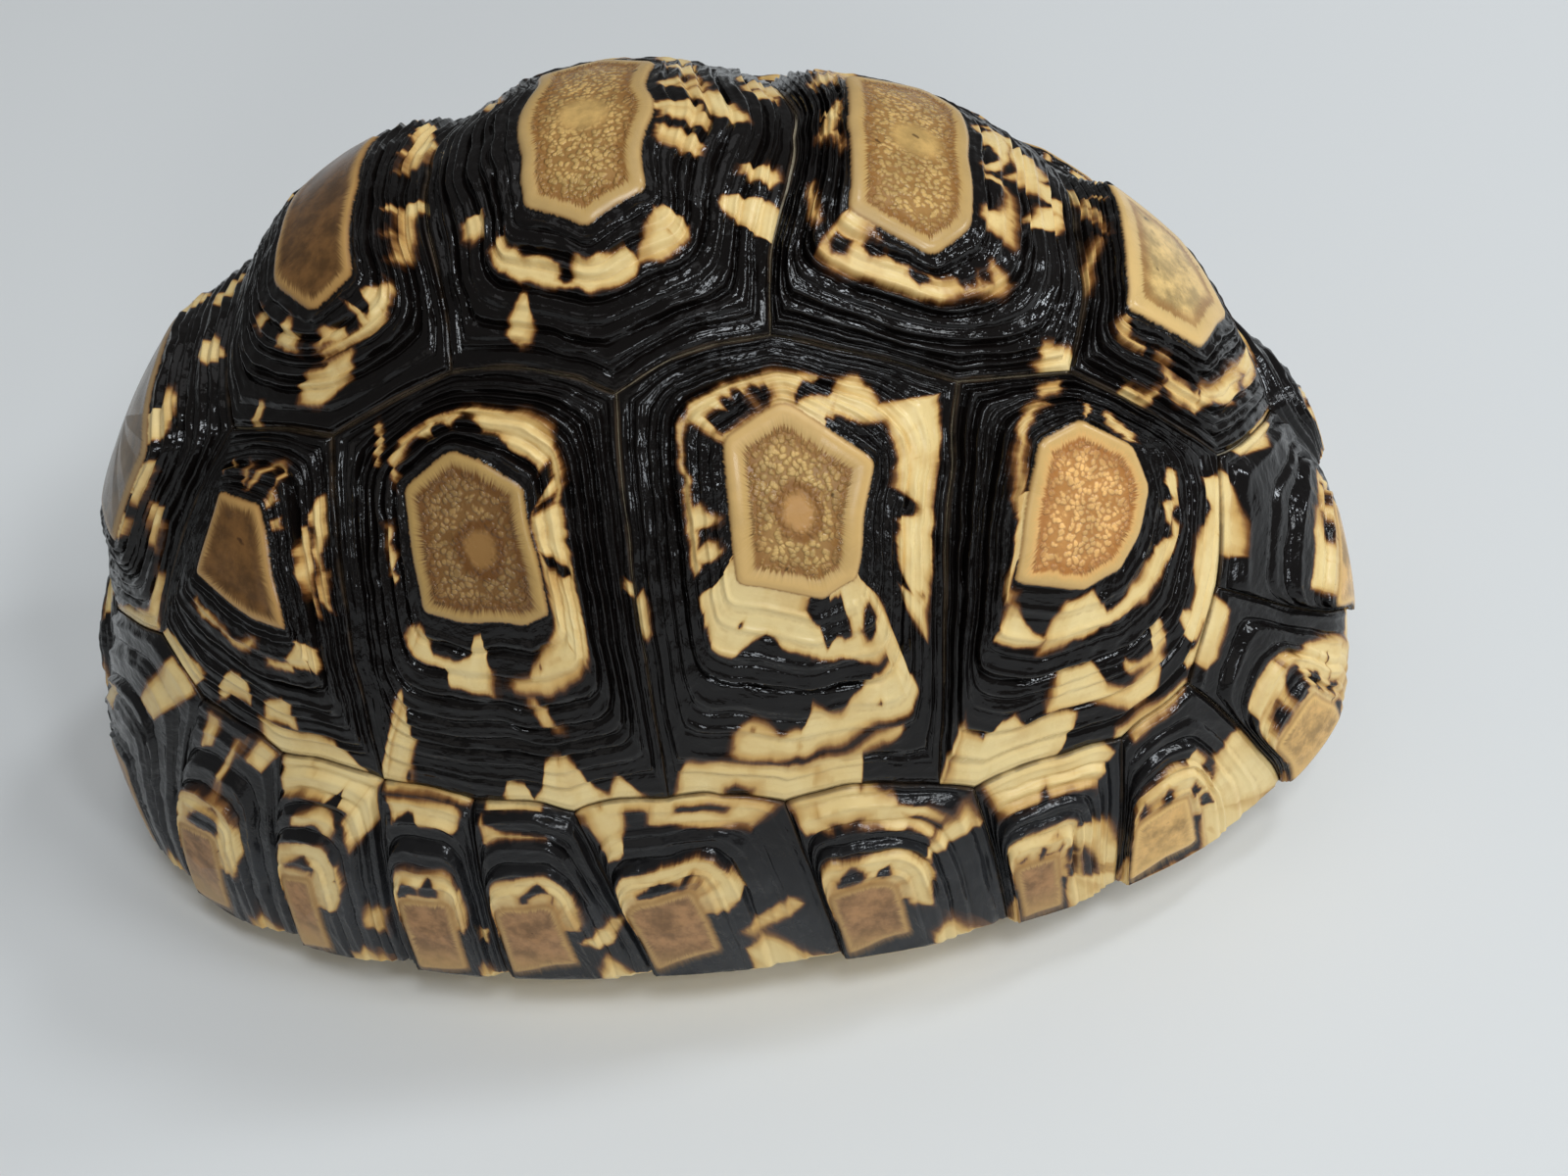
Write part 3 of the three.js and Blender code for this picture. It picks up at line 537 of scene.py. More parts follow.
MARGINAL_PATTERNS = [
    [
        cream((-50, -10, 22), (0, -10, 30), (40, -10, 26), (100, -10, 30), (130, 0, 28),
              (185, 0, 30)),
        black((10, 6, 20), (30, 4, 14)), black((70, 5, 20), (95, 8, 16)),
        cream((30, 95, 110), (60, 86, 110), (90, 95, 110)),
        cream((110, 95, 110), (140, 84, 110), (170, 86, 110), (175, 96, 110)), PALE_SKIRT_BENT,
    ],
    [
        *honey_arch(1, (15, 30, 16), (62, 30, 20)), cream((5, 28, 45), (50, 26, 48), (95, 28, 48)),
        cream((8, 87, 110), (20, 84, 110), (60, 84, 110), (78, 90, 110)),
        cream((485, 10, 40), (495, 5, 70), (520, 5, 75), (545, 10, 72), (560, 20, 60),
              (580, 26, 42), (605, 26, 45)),
        cream((500, -10, 30), (550, -10, 30), (600, -10, 30)), black((520, 10, 24), (535, 12, 20)),
        black((560, 10, 26), (580, 8, 22)), black((595, 8, 30), (610, 12, 30), (630, 10, 20)),
        black((650, 6, 24), (670, 8, 20)), WIDE_SKIRT,
    ],
    [
        *honey_arch(1, (50, 24, 16), (85, 20, 20)),
        cream((-30, 10, 50), (-10, 5, 50), (10, 6, 30), (50, 4, 28), (66, 0, 20)),
        black((30, -10, 12), (40, -10, 18), (46, -10, 12)),
        cream((5, 98, 110), (40, 90, 110), (90, 90, 110)),
        cream((495, -10, 80), (510, -10, 105), (535, 30, 110), (560, 50, 95)),
        cream((520, -10, 36), (560, -10, 36), (590, -10, 30)), black((515, 12, 24), (540, 14, 22)),
        black((555, 10, 20), (575, 10, 18)), WIDE_SKIRT,
    ],
    [
        *honey_arch(1, (25, 40, 22), (80, 16, 14)),
        cream((5, 2, 20), (30, 4, 23), (60, 6, 23), (97, 3, 23)), black((34, 0, 10), (42, 0, 12)),
        cream((0, 65, 90), (20, 60, 110), (42, 58, 110), (48, 70, 110), (54, 58, 110),
              (80, 60, 110), (95, 70, 110)),
        cream((510, 60, 110), (530, 50, 100), (550, 35, 80), (570, 25, 55), (590, 14, 35)),
        cream((500, -10, 40), (540, -10, 36), (590, -10, 30)), black((510, 14, 24), (535, 12, 26)),
        black((550, 16, 28), (570, 14, 22)), WIDE_SKIRT,
    ],
    [
        *honey_arch(2, (30, 30, 18), (70, 30, 24)), cream((-25, 30, 100), (-5, 50, 95)),
        cream((0, 52, 62), (40, 55, 65), (100, 60, 68), (110, 55, 75), (130, 60, 95),
              (150, 60, 110), (170, 60, 110), (200, 70, 110)),
        cream((0, 68, 76), (50, 68, 79), (120, 72, 85), (130, 80, 100)),
        black((142, 50, 66), (155, 50, 62), (170, 50, 68)), cream((30, -10, 8), (90, -10, 8)),
        cream((600, 6, 32), (640, 6, 32), (680, 20, 40)), PALE_SKIRT_BENT,
    ],
    [
        *honey_arch(2, (15, 20, 20), (50, 50, 16)), cream((0, 0, 24), (20, 2, 20), (30, 5, 12)),
        cream((0, 70, 98), (50, 65, 102), (100, 72, 105), (150, 78, 110), (160, 50, 110),
              (172, 45, 110), (195, 55, 110)),
        black((40, 84, 90), (90, 85, 92)), black((125, 70, 95), (140, 72, 98), (150, 70, 90)),
        cream((90, 92, 110), (200, 92, 110)),
        cream((580, 20, 34), (600, 34, 52), (620, 50, 72), (635, 75, 92)), PALE_SKIRT_BENT,
    ],
    [
        *honey_arch(1, (30, 50, 24)), cream((0, 0, 16), (30, -10, 13), (45, -10, 8)),
        cream((100, -10, 10), (130, -10, 20)), cream((20, 68, 73), (70, 69, 76), (97, 68, 92)),
        cream((30, 95, 110), (90, 93, 110)),
        cream((490, 10, 30), (505, 25, 50), (520, 40, 72), (535, 70, 100)), PALE_SKIRT,
    ],
    [
        *honey_arch(1, (42, 30, 26), (80, 40, 18)),
        cream((5, 75, 90), (15, 68, 93), (60, 68, 93), (68, 82, 93), (95, 70, 93)),
        cream((0, 96, 110), (100, 96, 110)), cream((20, -10, 6), (80, -10, 6)),
        cream((510, 50, 70), (525, 60, 90)), PALE_SKIRT,
    ],
    [
        *honey_arch(1, (40, 70, 20)),
        cream((10, 45, 55), (20, 42, 60), (40, 50, 66), (60, 45, 60), (76, 45, 55)),
        cream((0, 70, 110), (25, 70, 110), (30, 86, 110), (36, 70, 110), (50, 72, 110),
              (100, 70, 110)),
        cream((0, 0, 8), (100, 3, 10)), cream((580, 55, 95), (610, 60, 95)),
        cream((510, 50, 80), (530, 60, 90)), PALE_SKIRT,
    ],
    [
        *honey_arch(1, (30, 70, 28)), cream((0, 18, 26), (50, 18, 26), (80, 13, 30)),
        cream((35, 30, 95), (47, 33, 85)), cream((70, 70, 95), (90, 65, 97)),
        cream((0, 80, 100), (25, 76, 100)), PALE_SKIRT,
    ],
    [
        cream((10, 60, 100), (70, 55, 100)), cream((130, 30, 50), (180, 30, 50)), PALE_SKIRT_BENT,
    ],
]
SUPRACAUDAL_PATTERN = [
    cream((510, 50, 100), (550, 60, 100)), cream((570, 20, 80), (590, 30, 70)),
    cream((20, 10, 60), (60, 20, 50)), cream((440, 10, 60), (480, 20, 50)),
    cream((160, 50, 110), (200, 40, 110), (300, 40, 110), (340, 50, 110)),
]

# ---- The blank: a round closed disc that every scute and bone plate is drawn out of ----

AREOLA_SHARE = 0.3  # of the blank's radius
EDGE_HEIGHTS = (-0.3, -0.7)  # of the rings of points on its edge wall
TOP_ON_LAYOUT, UNDERSIDE_ON_LAYOUT = (0.36, 0.34), (0.86, 0.13)  # middle and radius
LEAN_ON_LAYOUT = 0.03  # how much further out the edge lies than the top, of the radius


def spun_blank(name, spokes, areola_rings, growth_rings, under_rings):
    """The mesh and its number of spokes. Its top face is at height 0 and its underside at -1."""
    inner = np.linspace(0, AREOLA_SHARE, areola_rings + 1)
    outer = np.linspace(AREOLA_SHARE, 1, growth_rings + 1)[1:]
    section = [(radius, 0) for radius in (*inner, *outer)]
    section += [(1, height) for height in EDGE_HEIGHTS]
    section += [(radius, -1) for radius in np.linspace(1, 0, under_rings + 1)]
    work = bmesh.new()
    points = [work.verts.new((radius, 0, height)) for radius, height in section]
    lines = [work.edges.new(pair) for pair in zip(points, points[1:])]
    bmesh.ops.spin(
        work, geom=points + lines, cent=(0, 0, 0), axis=(0, 0, 1),
        angle=2 * math.pi, steps=spokes, use_merge=True,
    )
    bmesh.ops.remove_doubles(work, verts=work.verts[:], dist=1e-6)
    bmesh.ops.recalc_face_normals(work, faces=work.faces[:])
    layout = work.loops.layers.uv.new("OFBake")
    for face in work.faces:
        face.smooth = True
        underside = all(point.co.z < -0.99 for point in face.verts)
        middle, size = UNDERSIDE_ON_LAYOUT if underside else TOP_ON_LAYOUT
        for loop in face.loops:
            x, y, z = loop.vert.co
            spread = size * (1 if underside else 1 - LEAN_ON_LAYOUT * z)
            loop[layout].uv = (middle + x * spread, middle + y * spread)
    blank = bpy.data.meshes.new(name)
    work.to_mesh(blank)
    work.free()
    return blank, spokes


def points_of(mesh):
    flat = np.empty(len(mesh.vertices) * 3, dtype=np.float32)
    mesh.vertices.foreach_get("co", flat)
    return flat.reshape(-1, 3).astype(float)


def move_points(mesh, points):
    mesh.vertices.foreach_set("co", points.astype(np.float32).ravel())
    mesh.update()


def add_reading(mesh, name, values):
    """A number or a vector that the finish reads at each point."""
    vector = values.ndim == 2
    layer = mesh.attributes.new(name, "FLOAT_VECTOR" if vector else "FLOAT", "POINT")
    layer.data.foreach_set("vector" if vector else "value", values.astype(np.float32).ravel())


def volume_of(mesh):
    points = points_of(mesh)
    mesh.calc_loop_triangles()
    corners = np.empty(len(mesh.loop_triangles) * 3, dtype=np.int32)
    mesh.loop_triangles.foreach_get("vertices", corners)
    a, b, c = (points[corners[k::3]] for k in range(3))
    return np.einsum("ij,ij->i", a, np.cross(b, c)).sum() / 6


def face_outwards(mesh):
    if volume_of(mesh) < 0:
        mesh.flip_normals()


def shown(name, mesh, finish, slot, *nodes):
    """Hangs a finished mesh on the shell in place of its CAD nodes."""
    face_outwards(mesh)
    mesh.materials.append(finish)
    piece = bpy.data.objects.new(name, mesh)
    bpy.context.scene.collection.objects.link(piece)
    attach(piece, "root")
    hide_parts(*nodes)
    return piece


# ---- Drawing a scute out of a blank ----

DEEPEST_IN_PATTERN = 6.0  # no point counts as further than this from a border of the pattern, in mm
BLOTCH_LEVEL, BLOTCH_SLOPE = 1.02, 3.2  # noise over this level is dark


def eased(values, reach):
    """A running average round a closed line, over so many neighbours each way."""
    return sum(np.roll(values, k, 0) for k in range(-reach, reach + 1)) / (2 * reach + 1)


class Growth:
    """Where every point of a blank lies on a scute."""

    def __init__(self, blank, outline, areola, place, side=1, inset=0.0012):
        mesh, spokes = blank
        disc = points_of(mesh)
        self.place = place
        radius = np.hypot(disc[:, 0], disc[:, 1])
        self.under = -disc[:, 2]
        spoke = np.arctan2(disc[:, 1], disc[:, 0]) / (2 * np.pi) * spokes
        self.spoke = np.round(spoke).astype(int) % spokes
        # the outlines of the scute and of its areola, one point for each spoke
        flip = np.array([1, side])
        outline, areola = np.array(outline) * flip, np.array(areola) * flip
        self.count = len(outline)
        lengths = np.linalg.norm(np.roll(outline, -1, 0) - outline, axis=1)
        shares = np.maximum(4, np.round(lengths / lengths.sum() * spokes)).astype(int)
        shares[np.argmax(shares)] += spokes - shares.sum()
        corner = np.concatenate([[0], np.cumsum(shares)])
        self.turns = np.interp(np.arange(spokes), corner, np.arange(self.count + 1))
        side_of = np.floor(self.turns).astype(int)
        share = (self.turns - side_of)[:, None]
        next_side = (side_of + 1) % self.count
        edge = mix(outline[side_of], outline[next_side], share)
        core = eased(mix(areola[side_of], areola[next_side], share), 4)
        edge = edge - unit(edge - core) * inset
        self.middle = core.mean(0)
        zero = np.zeros(spokes)
        edge_points, core_points = place(edge, zero), place(core, zero)
        self.reach = eased(np.linalg.norm(edge_points - core_points, axis=1), 2)
        self.edge_walk = self.walk(edge_points)
        self.core_walk = self.walk(core_points)
        # ring runs from 0 at the areola to 1 at the seam; inside the areola it is below 0
        self.ring = (radius - AREOLA_SHARE) / (1 - AREOLA_SHARE)
        inner = np.clip(radius / AREOLA_SHARE, 0, 1)[:, None]
        out = np.clip(self.ring, 0, 1)[:, None]
        k = self.spoke
        spread = mix(self.middle, core[k], inner)
        round_edge = eased(edge, spokes // 24)
        self.map = mix(spread, mix(round_edge[k], edge[k], smooth(0.5, 1, out)), out)
        self.out_mm = np.clip(self.ring, 0, 1) * self.reach[k]
        self.to_seam_mm = (1 - np.clip(self.ring, 0, 1)) * self.reach[k]
        self.in_areola_mm = -self.out_mm
        within = self.ring < 0
        spots = place(self.map[within], np.zeros(within.sum()))
        to_core = np.linalg.norm(spots[:, None] - core_points, axis=2)
        self.in_areola_mm[within] = to_core.min(1)
        # the outline wound up into a circle, so that noise along it closes on itself
        whole = self.edge_walk[-1]
        angle = self.edge_walk[:-1][k] / whole * 2 * np.pi
        round_radius = whole / (2 * np.pi)
        self.around = np.stack([np.cos(angle) * round_radius, np.sin(angle) * round_radius], -1)

    @staticmethod
    def walk(points):
        """How far each point is along the closed line, and at the end its whole length."""
        steps = np.linalg.norm(np.roll(points, -1, 0) - points, axis=1)
        return np.concatenate([[0], np.cumsum(steps)])

    def comb(self, across, along, seed):
        """Noise in streaks that run outwards, a given width and length in millimetres."""
        streaks = np.column_stack([self.around / across, self.out_mm / along])
        return drift(streaks, seed)

    def pigment(self, patches, seed, uneven):
        """Signed distance in millimetres into the cream patches."""
        out = np.clip(self.ring, 0, 1)
        k = self.spoke
        reach = self.reach[k]
        turns = np.append(self.turns, self.count)
        core_step = np.diff(self.core_walk) / np.diff(turns)
        edge_step = np.diff(self.edge_walk) / np.diff(turns)
        corner_mm = mix(core_step[k], edge_step[k], out)
        teeth = 0.38 * self.comb(2.1, 8, seed) + 0.12 * self.comb(0.9, 5, seed + 1)
        sway = 0.4 * self.comb(3.2, 3.6, seed + 2) + 0.08 * self.comb(1.4, 2.0, seed + 3)
        towards = self.turns[k] + sway * uneven / corner_mm
        ring = out + teeth * uneven * smooth(0, 1.5, self.out_mm + 0.5) / reach
        field = np.full(len(out), -DEEPEST_IN_PATTERN)
        for kind, places in patches:
            corners, inner, outer = np.array(places, dtype=float).T
            inner = np.where(inner <= 0, -9, inner)  # no border at the areola
            patch = np.full(len(out), -99.0)
            for lap in (-self.count, 0, self.count):
                if corners[-1] + lap < -0.5 or corners[0] + lap > self.count + 0.5:
                    continue
                here = towards - lap
                deep = (ring - np.interp(here, corners, inner)) * reach
                high = (np.interp(here, corners, outer) - ring) * reach
                ends = np.minimum(here - corners[0], corners[-1] - here) * corner_mm
                patch = np.maximum(patch, np.minimum(ends, np.minimum(deep, high)))
            field = np.maximum(field, patch) if kind == CREAM else np.minimum(field, -patch)
        # stray dark blotches inside the cream, drawn out along the growth
        blotch = self.comb(1.5, 2.4, seed + 4) + 0.35 * self.comb(0.7, 1.2, seed + 5)
        field = np.minimum(field, (BLOTCH_LEVEL - blotch) * BLOTCH_SLOPE)
        return np.clip(field, -DEEPEST_IN_PATTERN, DEEPEST_IN_PATTERN)


# The relief of a scute, in millimetres
NARROWEST_RING, WIDEST_RING = 0.4, 2.1  # against one another
DEEP_BORDERS = 0.38  # the share of ring borders where growth stood still: a high step leads down
LOW_STEP, HIGH_STEP, DEEP_STEP = 0.25, 0.6, 1.3  # against one another
DEEP_GROOVE, DEEP_GROOVE_WIDTH = (0.36, 0.6), 0.27
FINE_GROOVE, FINE_GROOVE_WIDTH = (0.07, 0.2), 0.18
CREST, CREST_WIDTH = 0.19, 0.3
FINE_LINE = 0.02
SKIN_CLEARANCE = 0.12  # between the highest horn and the outer skin
LEAST_HORN = 0.3
SPOT_STRETCH = 1.35  # the spot in the middle of an areola is taller than wide


def ring_borders(random, ring_count):
    """Where the rings end, between 0 and 1, and how far the borders have stepped down by then."""
    widths = random.uniform(NARROWEST_RING, WIDEST_RING, ring_count)
    deep = random.random(ring_count + 1) < DEEP_BORDERS
    deep[[0, ring_count // 2]] = True
    heights = random.uniform(LOW_STEP, HIGH_STEP, ring_count) + DEEP_STEP * deep[1:]
    borders = np.concatenate([[0], np.cumsum(widths) / widths.sum()])
    return borders, deep, heights / heights.sum()


def growth_relief(growth, pigment, seed, ring_count, dish, rise):
    """Depth under the outer skin over the top of a scute, and its ring number."""
    random = np.random.default_rng(seed)
    borders, deep, heights = ring_borders(random, ring_count)
    out = np.clip(growth.ring, 0, 1)
    reach = growth.reach[growth.spoke]
    in_cream = smooth(-0.2, 0.6, pigment)
    # rings of uneven width, a little wavy
    wobble = 0.2 * growth.comb(5, 3, seed + 10) + 0.09 * growth.comb(1.3, 1.5, seed + 13)
    wavy = out + wobble / np.maximum(reach, 4) * smooth(0, 0.08, out) * smooth(0, 0.06, 1 - out)
    number = np.interp(wavy, borders, np.arange(ring_count + 1))
    whole = np.minimum(np.floor(number), ring_count - 1).astype(int)
    part = number - whole
    near = np.minimum(np.round(number).astype(int), ring_count)
    # the fall from the areola to the seam, in steps at the ring borders
    step = heights[whole] * smooth(0.6, 0.98, part)
    stair = np.concatenate([[0], np.cumsum(heights)])[whole] + step
    low = FINISHED_SEAM * seam_depth(growth.map)
    fall = mix(mix(out**1.3, stair, 0.8) * low, low, smooth(0.94, 1, out))
    # a groove in every border, a crest above it, and finer lines on the treads
    width_mm = np.diff(borders)[whole] * reach
    to_border = np.minimum(part, 1 - part) * width_mm
    uneven = np.clip(0.85 + 0.7 * growth.comb(2.6, 1.4, seed + 11), 0.2, 1.5)
    strength = np.where(
        deep,
        random.uniform(*DEEP_GROOVE, ring_count + 1),
        random.uniform(*FINE_GROOVE, ring_count + 1),
    )
    broad = np.where(deep, DEEP_GROOVE_WIDTH, FINE_GROOVE_WIDTH)[near]
    groove = np.exp(-((to_border / broad) ** 2)) * strength[near] * uneven
    worn_share = np.where(deep[near], 1 - 0.5 * in_cream, 1 - 0.72 * in_cream)
    groove = groove * smooth(0.1, 0.55, width_mm) * worn_share
    crest = CREST * np.exp(-(((part - 0.7) * width_mm / CREST_WIDTH) ** 2)) * uneven
    lines = np.abs((number * 2) % 1 - 0.5) * 2
    fine = smooth(0.35, 1, lines) * FINE_LINE * smooth(0.7, 1.5, width_mm)
    broken = np.clip(0.6 + 1.3 * growth.comb(1.8, 0.8, seed + 12), 0, 1.5)
    fine = fine * broken * (1 - 0.7 * in_cream)
    worn = 0.04 * growth.comb(1.0, 0.7, seed + 14) + 0.14 * growth.comb(3.0, 1.5, seed + 16)
    worn = worn * (1 - 0.5 * in_cream)
    # the areola: a raised plate with a rounded edge, dished inside a smooth border
    inside = growth.in_areola_mm
    plate = rise * (1 - smooth(-0.12, 0.45, inside))
    dished = dish * smooth(1.0, 2.2, inside)
    # the relief dies away at the areola, at the seam and over the fold of the rim
    to_rim = np.hypot(growth.map[:, 0], growth.map[:, 1])
    calm = smooth(0, 0.05, out) * (1 - 0.8 * smooth(0.94, 1, out))
    calm = calm * (1 - 0.75 * smooth(0.93, 1.01, to_rim))
    depth = SKIN_CLEARANCE + plate + dished + fall + (groove + fine + worn - crest) * calm
    return np.minimum(depth, seam_depth(growth.map) + FINISHED_BACK - LEAST_HORN), number


def make_scute(
    name, blank, shape, side, patches, seed, finish, slot, rings, dish, rise=0.34, uneven=1.0,
):
    outline, areola = shape
    growth = Growth(blank, outline, areola, on_carapace, side)
    pigment = growth.pigment(patches, seed, uneven)
    relief, number = growth_relief(growth, pigment, seed, rings, dish, rise)
    depth = mix(relief, seam_depth(growth.map) + FINISHED_BACK, growth.under)
    mesh = blank[0].copy()
    mesh.name = name
    points = growth.place(growth.map, depth) * MM
    move_points(mesh, points)
    from_middle = points / MM - growth.place(growth.middle[None], np.zeros(1))
    from_middle[:, 2] /= SPOT_STRETCH
    add_reading(mesh, "pigment", pigment)
    add_reading(mesh, "areola", growth.in_areola_mm)
    add_reading(mesh, "seam", growth.to_seam_mm)
    add_reading(mesh, "ring", number)
    add_reading(mesh, "grain", np.column_stack([growth.around, growth.out_mm]))
    add_reading(mesh, "middle", np.linalg.norm(from_middle, axis=1))
    return shown(name, mesh, HORN_FINISHES[finish], slot, name)


SEAM_SWAY, SWAY_LENGTH, SWAY_SEEDS = 0.0022, 0.045, (71, 72)


def on_carapace(places, depth):
    """Map places, a little uneven so that no seam is ruled, on the carapace."""
    u, v = places[..., 0], places[..., 1]
    spots = np.stack([u, v, 0 * u], -1) / SWAY_LENGTH
    moved = places + SEAM_SWAY * np.stack([drift(spots, seed) for seed in SWAY_SEEDS], -1)
    u, v = moved[..., 0], moved[..., 1]
    return within_box(skin(np.arctan2(v, u), np.hypot(u, v), depth))


# The outermost horn, from these lines on, is drawn in by a share of what lies past them.
FRONT_LINE, REAR_LINE, SIDE_LINE = 66, -66, 41
FRONT_SHARE, REAR_SHARE, SIDE_SHARE = 0.8, 0.9, 0.94
LOWEST = 0.02


def within_box(points):
    """Draws the outermost horn in a little, so that it stays in the CAD's box."""
    x, y, z = points[..., 0], points[..., 1], points[..., 2]
    front = FRONT_LINE + (x - FRONT_LINE) * FRONT_SHARE
    rear = REAR_LINE + (x - REAR_LINE) * REAR_SHARE
    x = np.where(x > FRONT_LINE, front, np.where(x < REAR_LINE, rear, x))
    side = SIDE_LINE + (np.abs(y) - SIDE_LINE) * SIDE_SHARE
    y = np.sign(y) * np.where(np.abs(y) > SIDE_LINE, side, np.abs(y))
    return np.stack([x, y, np.maximum(z, LOWEST)], -1)


def on_plastron(places, depth):
    return np.stack([places[..., 0], places[..., 1], depth], -1)


# ---- Finishes ----


def toned(colour, share):
    return tuple(share * value for value in colour)


class Finish:
    """One procedural finish. Each call adds a step and gives back its result."""

    def __init__(self, name):
        self.material = bpy.data.materials.new(name)
        self.material.use_nodes = True
        self.tree = self.material.node_tree
        self.surface = self.tree.nodes["Principled BSDF"].inputs
        self.at = self.step("ShaderNodeTexCoord", {}, "Object")

    def feed(self, socket, value):
        if isinstance(value, bpy.types.NodeSocket):
            self.tree.links.new(value, socket)
        else:
            socket.default_value = value

    def coat(self, colour, roughness, normal=None):
        """Joins the colour, roughness and relief to the surface, and gives back its material."""
        self.feed(self.surface["Base Color"], colour)
        self.feed(self.surface["Roughness"], roughness)
        if normal is not None:
            self.feed(self.surface["Normal"], normal)
        return self.material

    def step(self, kind, inputs, result=0, **settings):
        made = self.tree.nodes.new(kind)
        for key, value in settings.items():
            setattr(made, key, value)
        for key, value in inputs.items():
            self.feed(made.inputs[key], value)
        return made.outputs[result]

    def reading(self, name, result="Fac"):
        return self.step("ShaderNodeAttribute", {}, result, attribute_name=name)

    def math(self, operation, a, b=0.0, c=0.0, clamp=False):
        inputs = {0: a, 1: b, 2: c}
        return self.step("ShaderNodeMath", inputs, operation=operation, use_clamp=clamp)

    def times(self, a, b):
        return self.math("MULTIPLY", a, b)

    def add(self, value, more, share, clamp=False):
        """value and a share of more."""
        return self.math("MULTIPLY_ADD", more, share, value, clamp)

    def shake(self, value, noise, reach):
        """value, moved up and down by a noise that lies round 0.5."""
        return self.add(value, self.math("SUBTRACT", noise, 0.5), reach)

    def to_half(self, value):
        """How far a value is from the half between two whole numbers."""
        return self.math("ABSOLUTE", self.math("SUBTRACT", self.math("FRACT", value), 0.5))

    def range(self, value, low, high, to_low=0.0, to_high=1.0, soft=True):
        inputs = {
            "Value": value, "From Min": low, "From Max": high, "To Min": to_low, "To Max": to_high,
        }
        kind = "SMOOTHSTEP" if soft else "LINEAR"
        return self.step("ShaderNodeMapRange", inputs, interpolation_type=kind)

    def band(self, value, rise, fall):
        """1 between two borders, each given as where it starts and where it ends."""
        return self.times(self.range(value, *rise), self.range(value, *fall, 1.0, 0.0))

    def noise(self, where, scale, detail, roughness, stretch=(1, 1, 1)):
        if stretch != (1, 1, 1):
            where = self.step("ShaderNodeMapping", {"Vector": where, "Scale": stretch})
        inputs = {"Vector": where, "Scale": scale, "Detail": detail, "Roughness": roughness}
        return self.step("ShaderNodeTexNoise", inputs)

    def ramp(self, value, *stops):
        made = self.tree.nodes.new("ShaderNodeValToRGB")
        colours = made.color_ramp.elements
        colours[0].position, colours[0].color = stops[0][0], (*stops[0][1], 1)
        colours[1].position, colours[1].color = stops[-1][0], (*stops[-1][1], 1)
        for position, colour in stops[1:-1]:
            colours.new(position).color = (*colour, 1)
        self.feed(made.inputs[0], value)
        return made.outputs["Color"]

    def blend(self, share, a, b):
        made = self.tree.nodes.new("ShaderNodeMix")
        made.data_type = "RGBA"
        for index, value in ((0, share), (6, a), (7, b)):
            self.feed(made.inputs[index], (*value, 1) if isinstance(value, tuple) else value)
        return made.outputs[2]

    def bump(self, height, distance, strength, under=None):
        inputs = {"Height": height, "Distance": distance, "Strength": strength}
        if under is not None:
            inputs["Normal"] = under
        return self.step("ShaderNodeBump", inputs)


BLACK_HORN = (0.0042, 0.003, 0.0026)
DUSTY_HORN = (0.05, 0.053, 0.058)
BURNT_HORN = (0.035, 0.013, 0.005)
AMBER_HORN = (0.22, 0.09, 0.025)
HONEY_HORN = (0.6, 0.365, 0.12)
CREAM_HORN = (0.79, 0.58, 0.25)
PALE_HORN = (0.84, 0.65, 0.31)
SEAM_BROWN = (0.085, 0.055, 0.032)
LINE_BROWN = (0.3, 0.15, 0.055)
STAINED_HORN = (0.42, 0.21, 0.07)
# RING_TINT also sets the colour of the painted shade in the crevices between pebbles.
RING_TINT = (0.56, 0.38, 0.26)  # what the brown ring keeps of the areola's tone
HORN_SHINE = 0.27
PEBBLES_PER_METRE = 1850.0


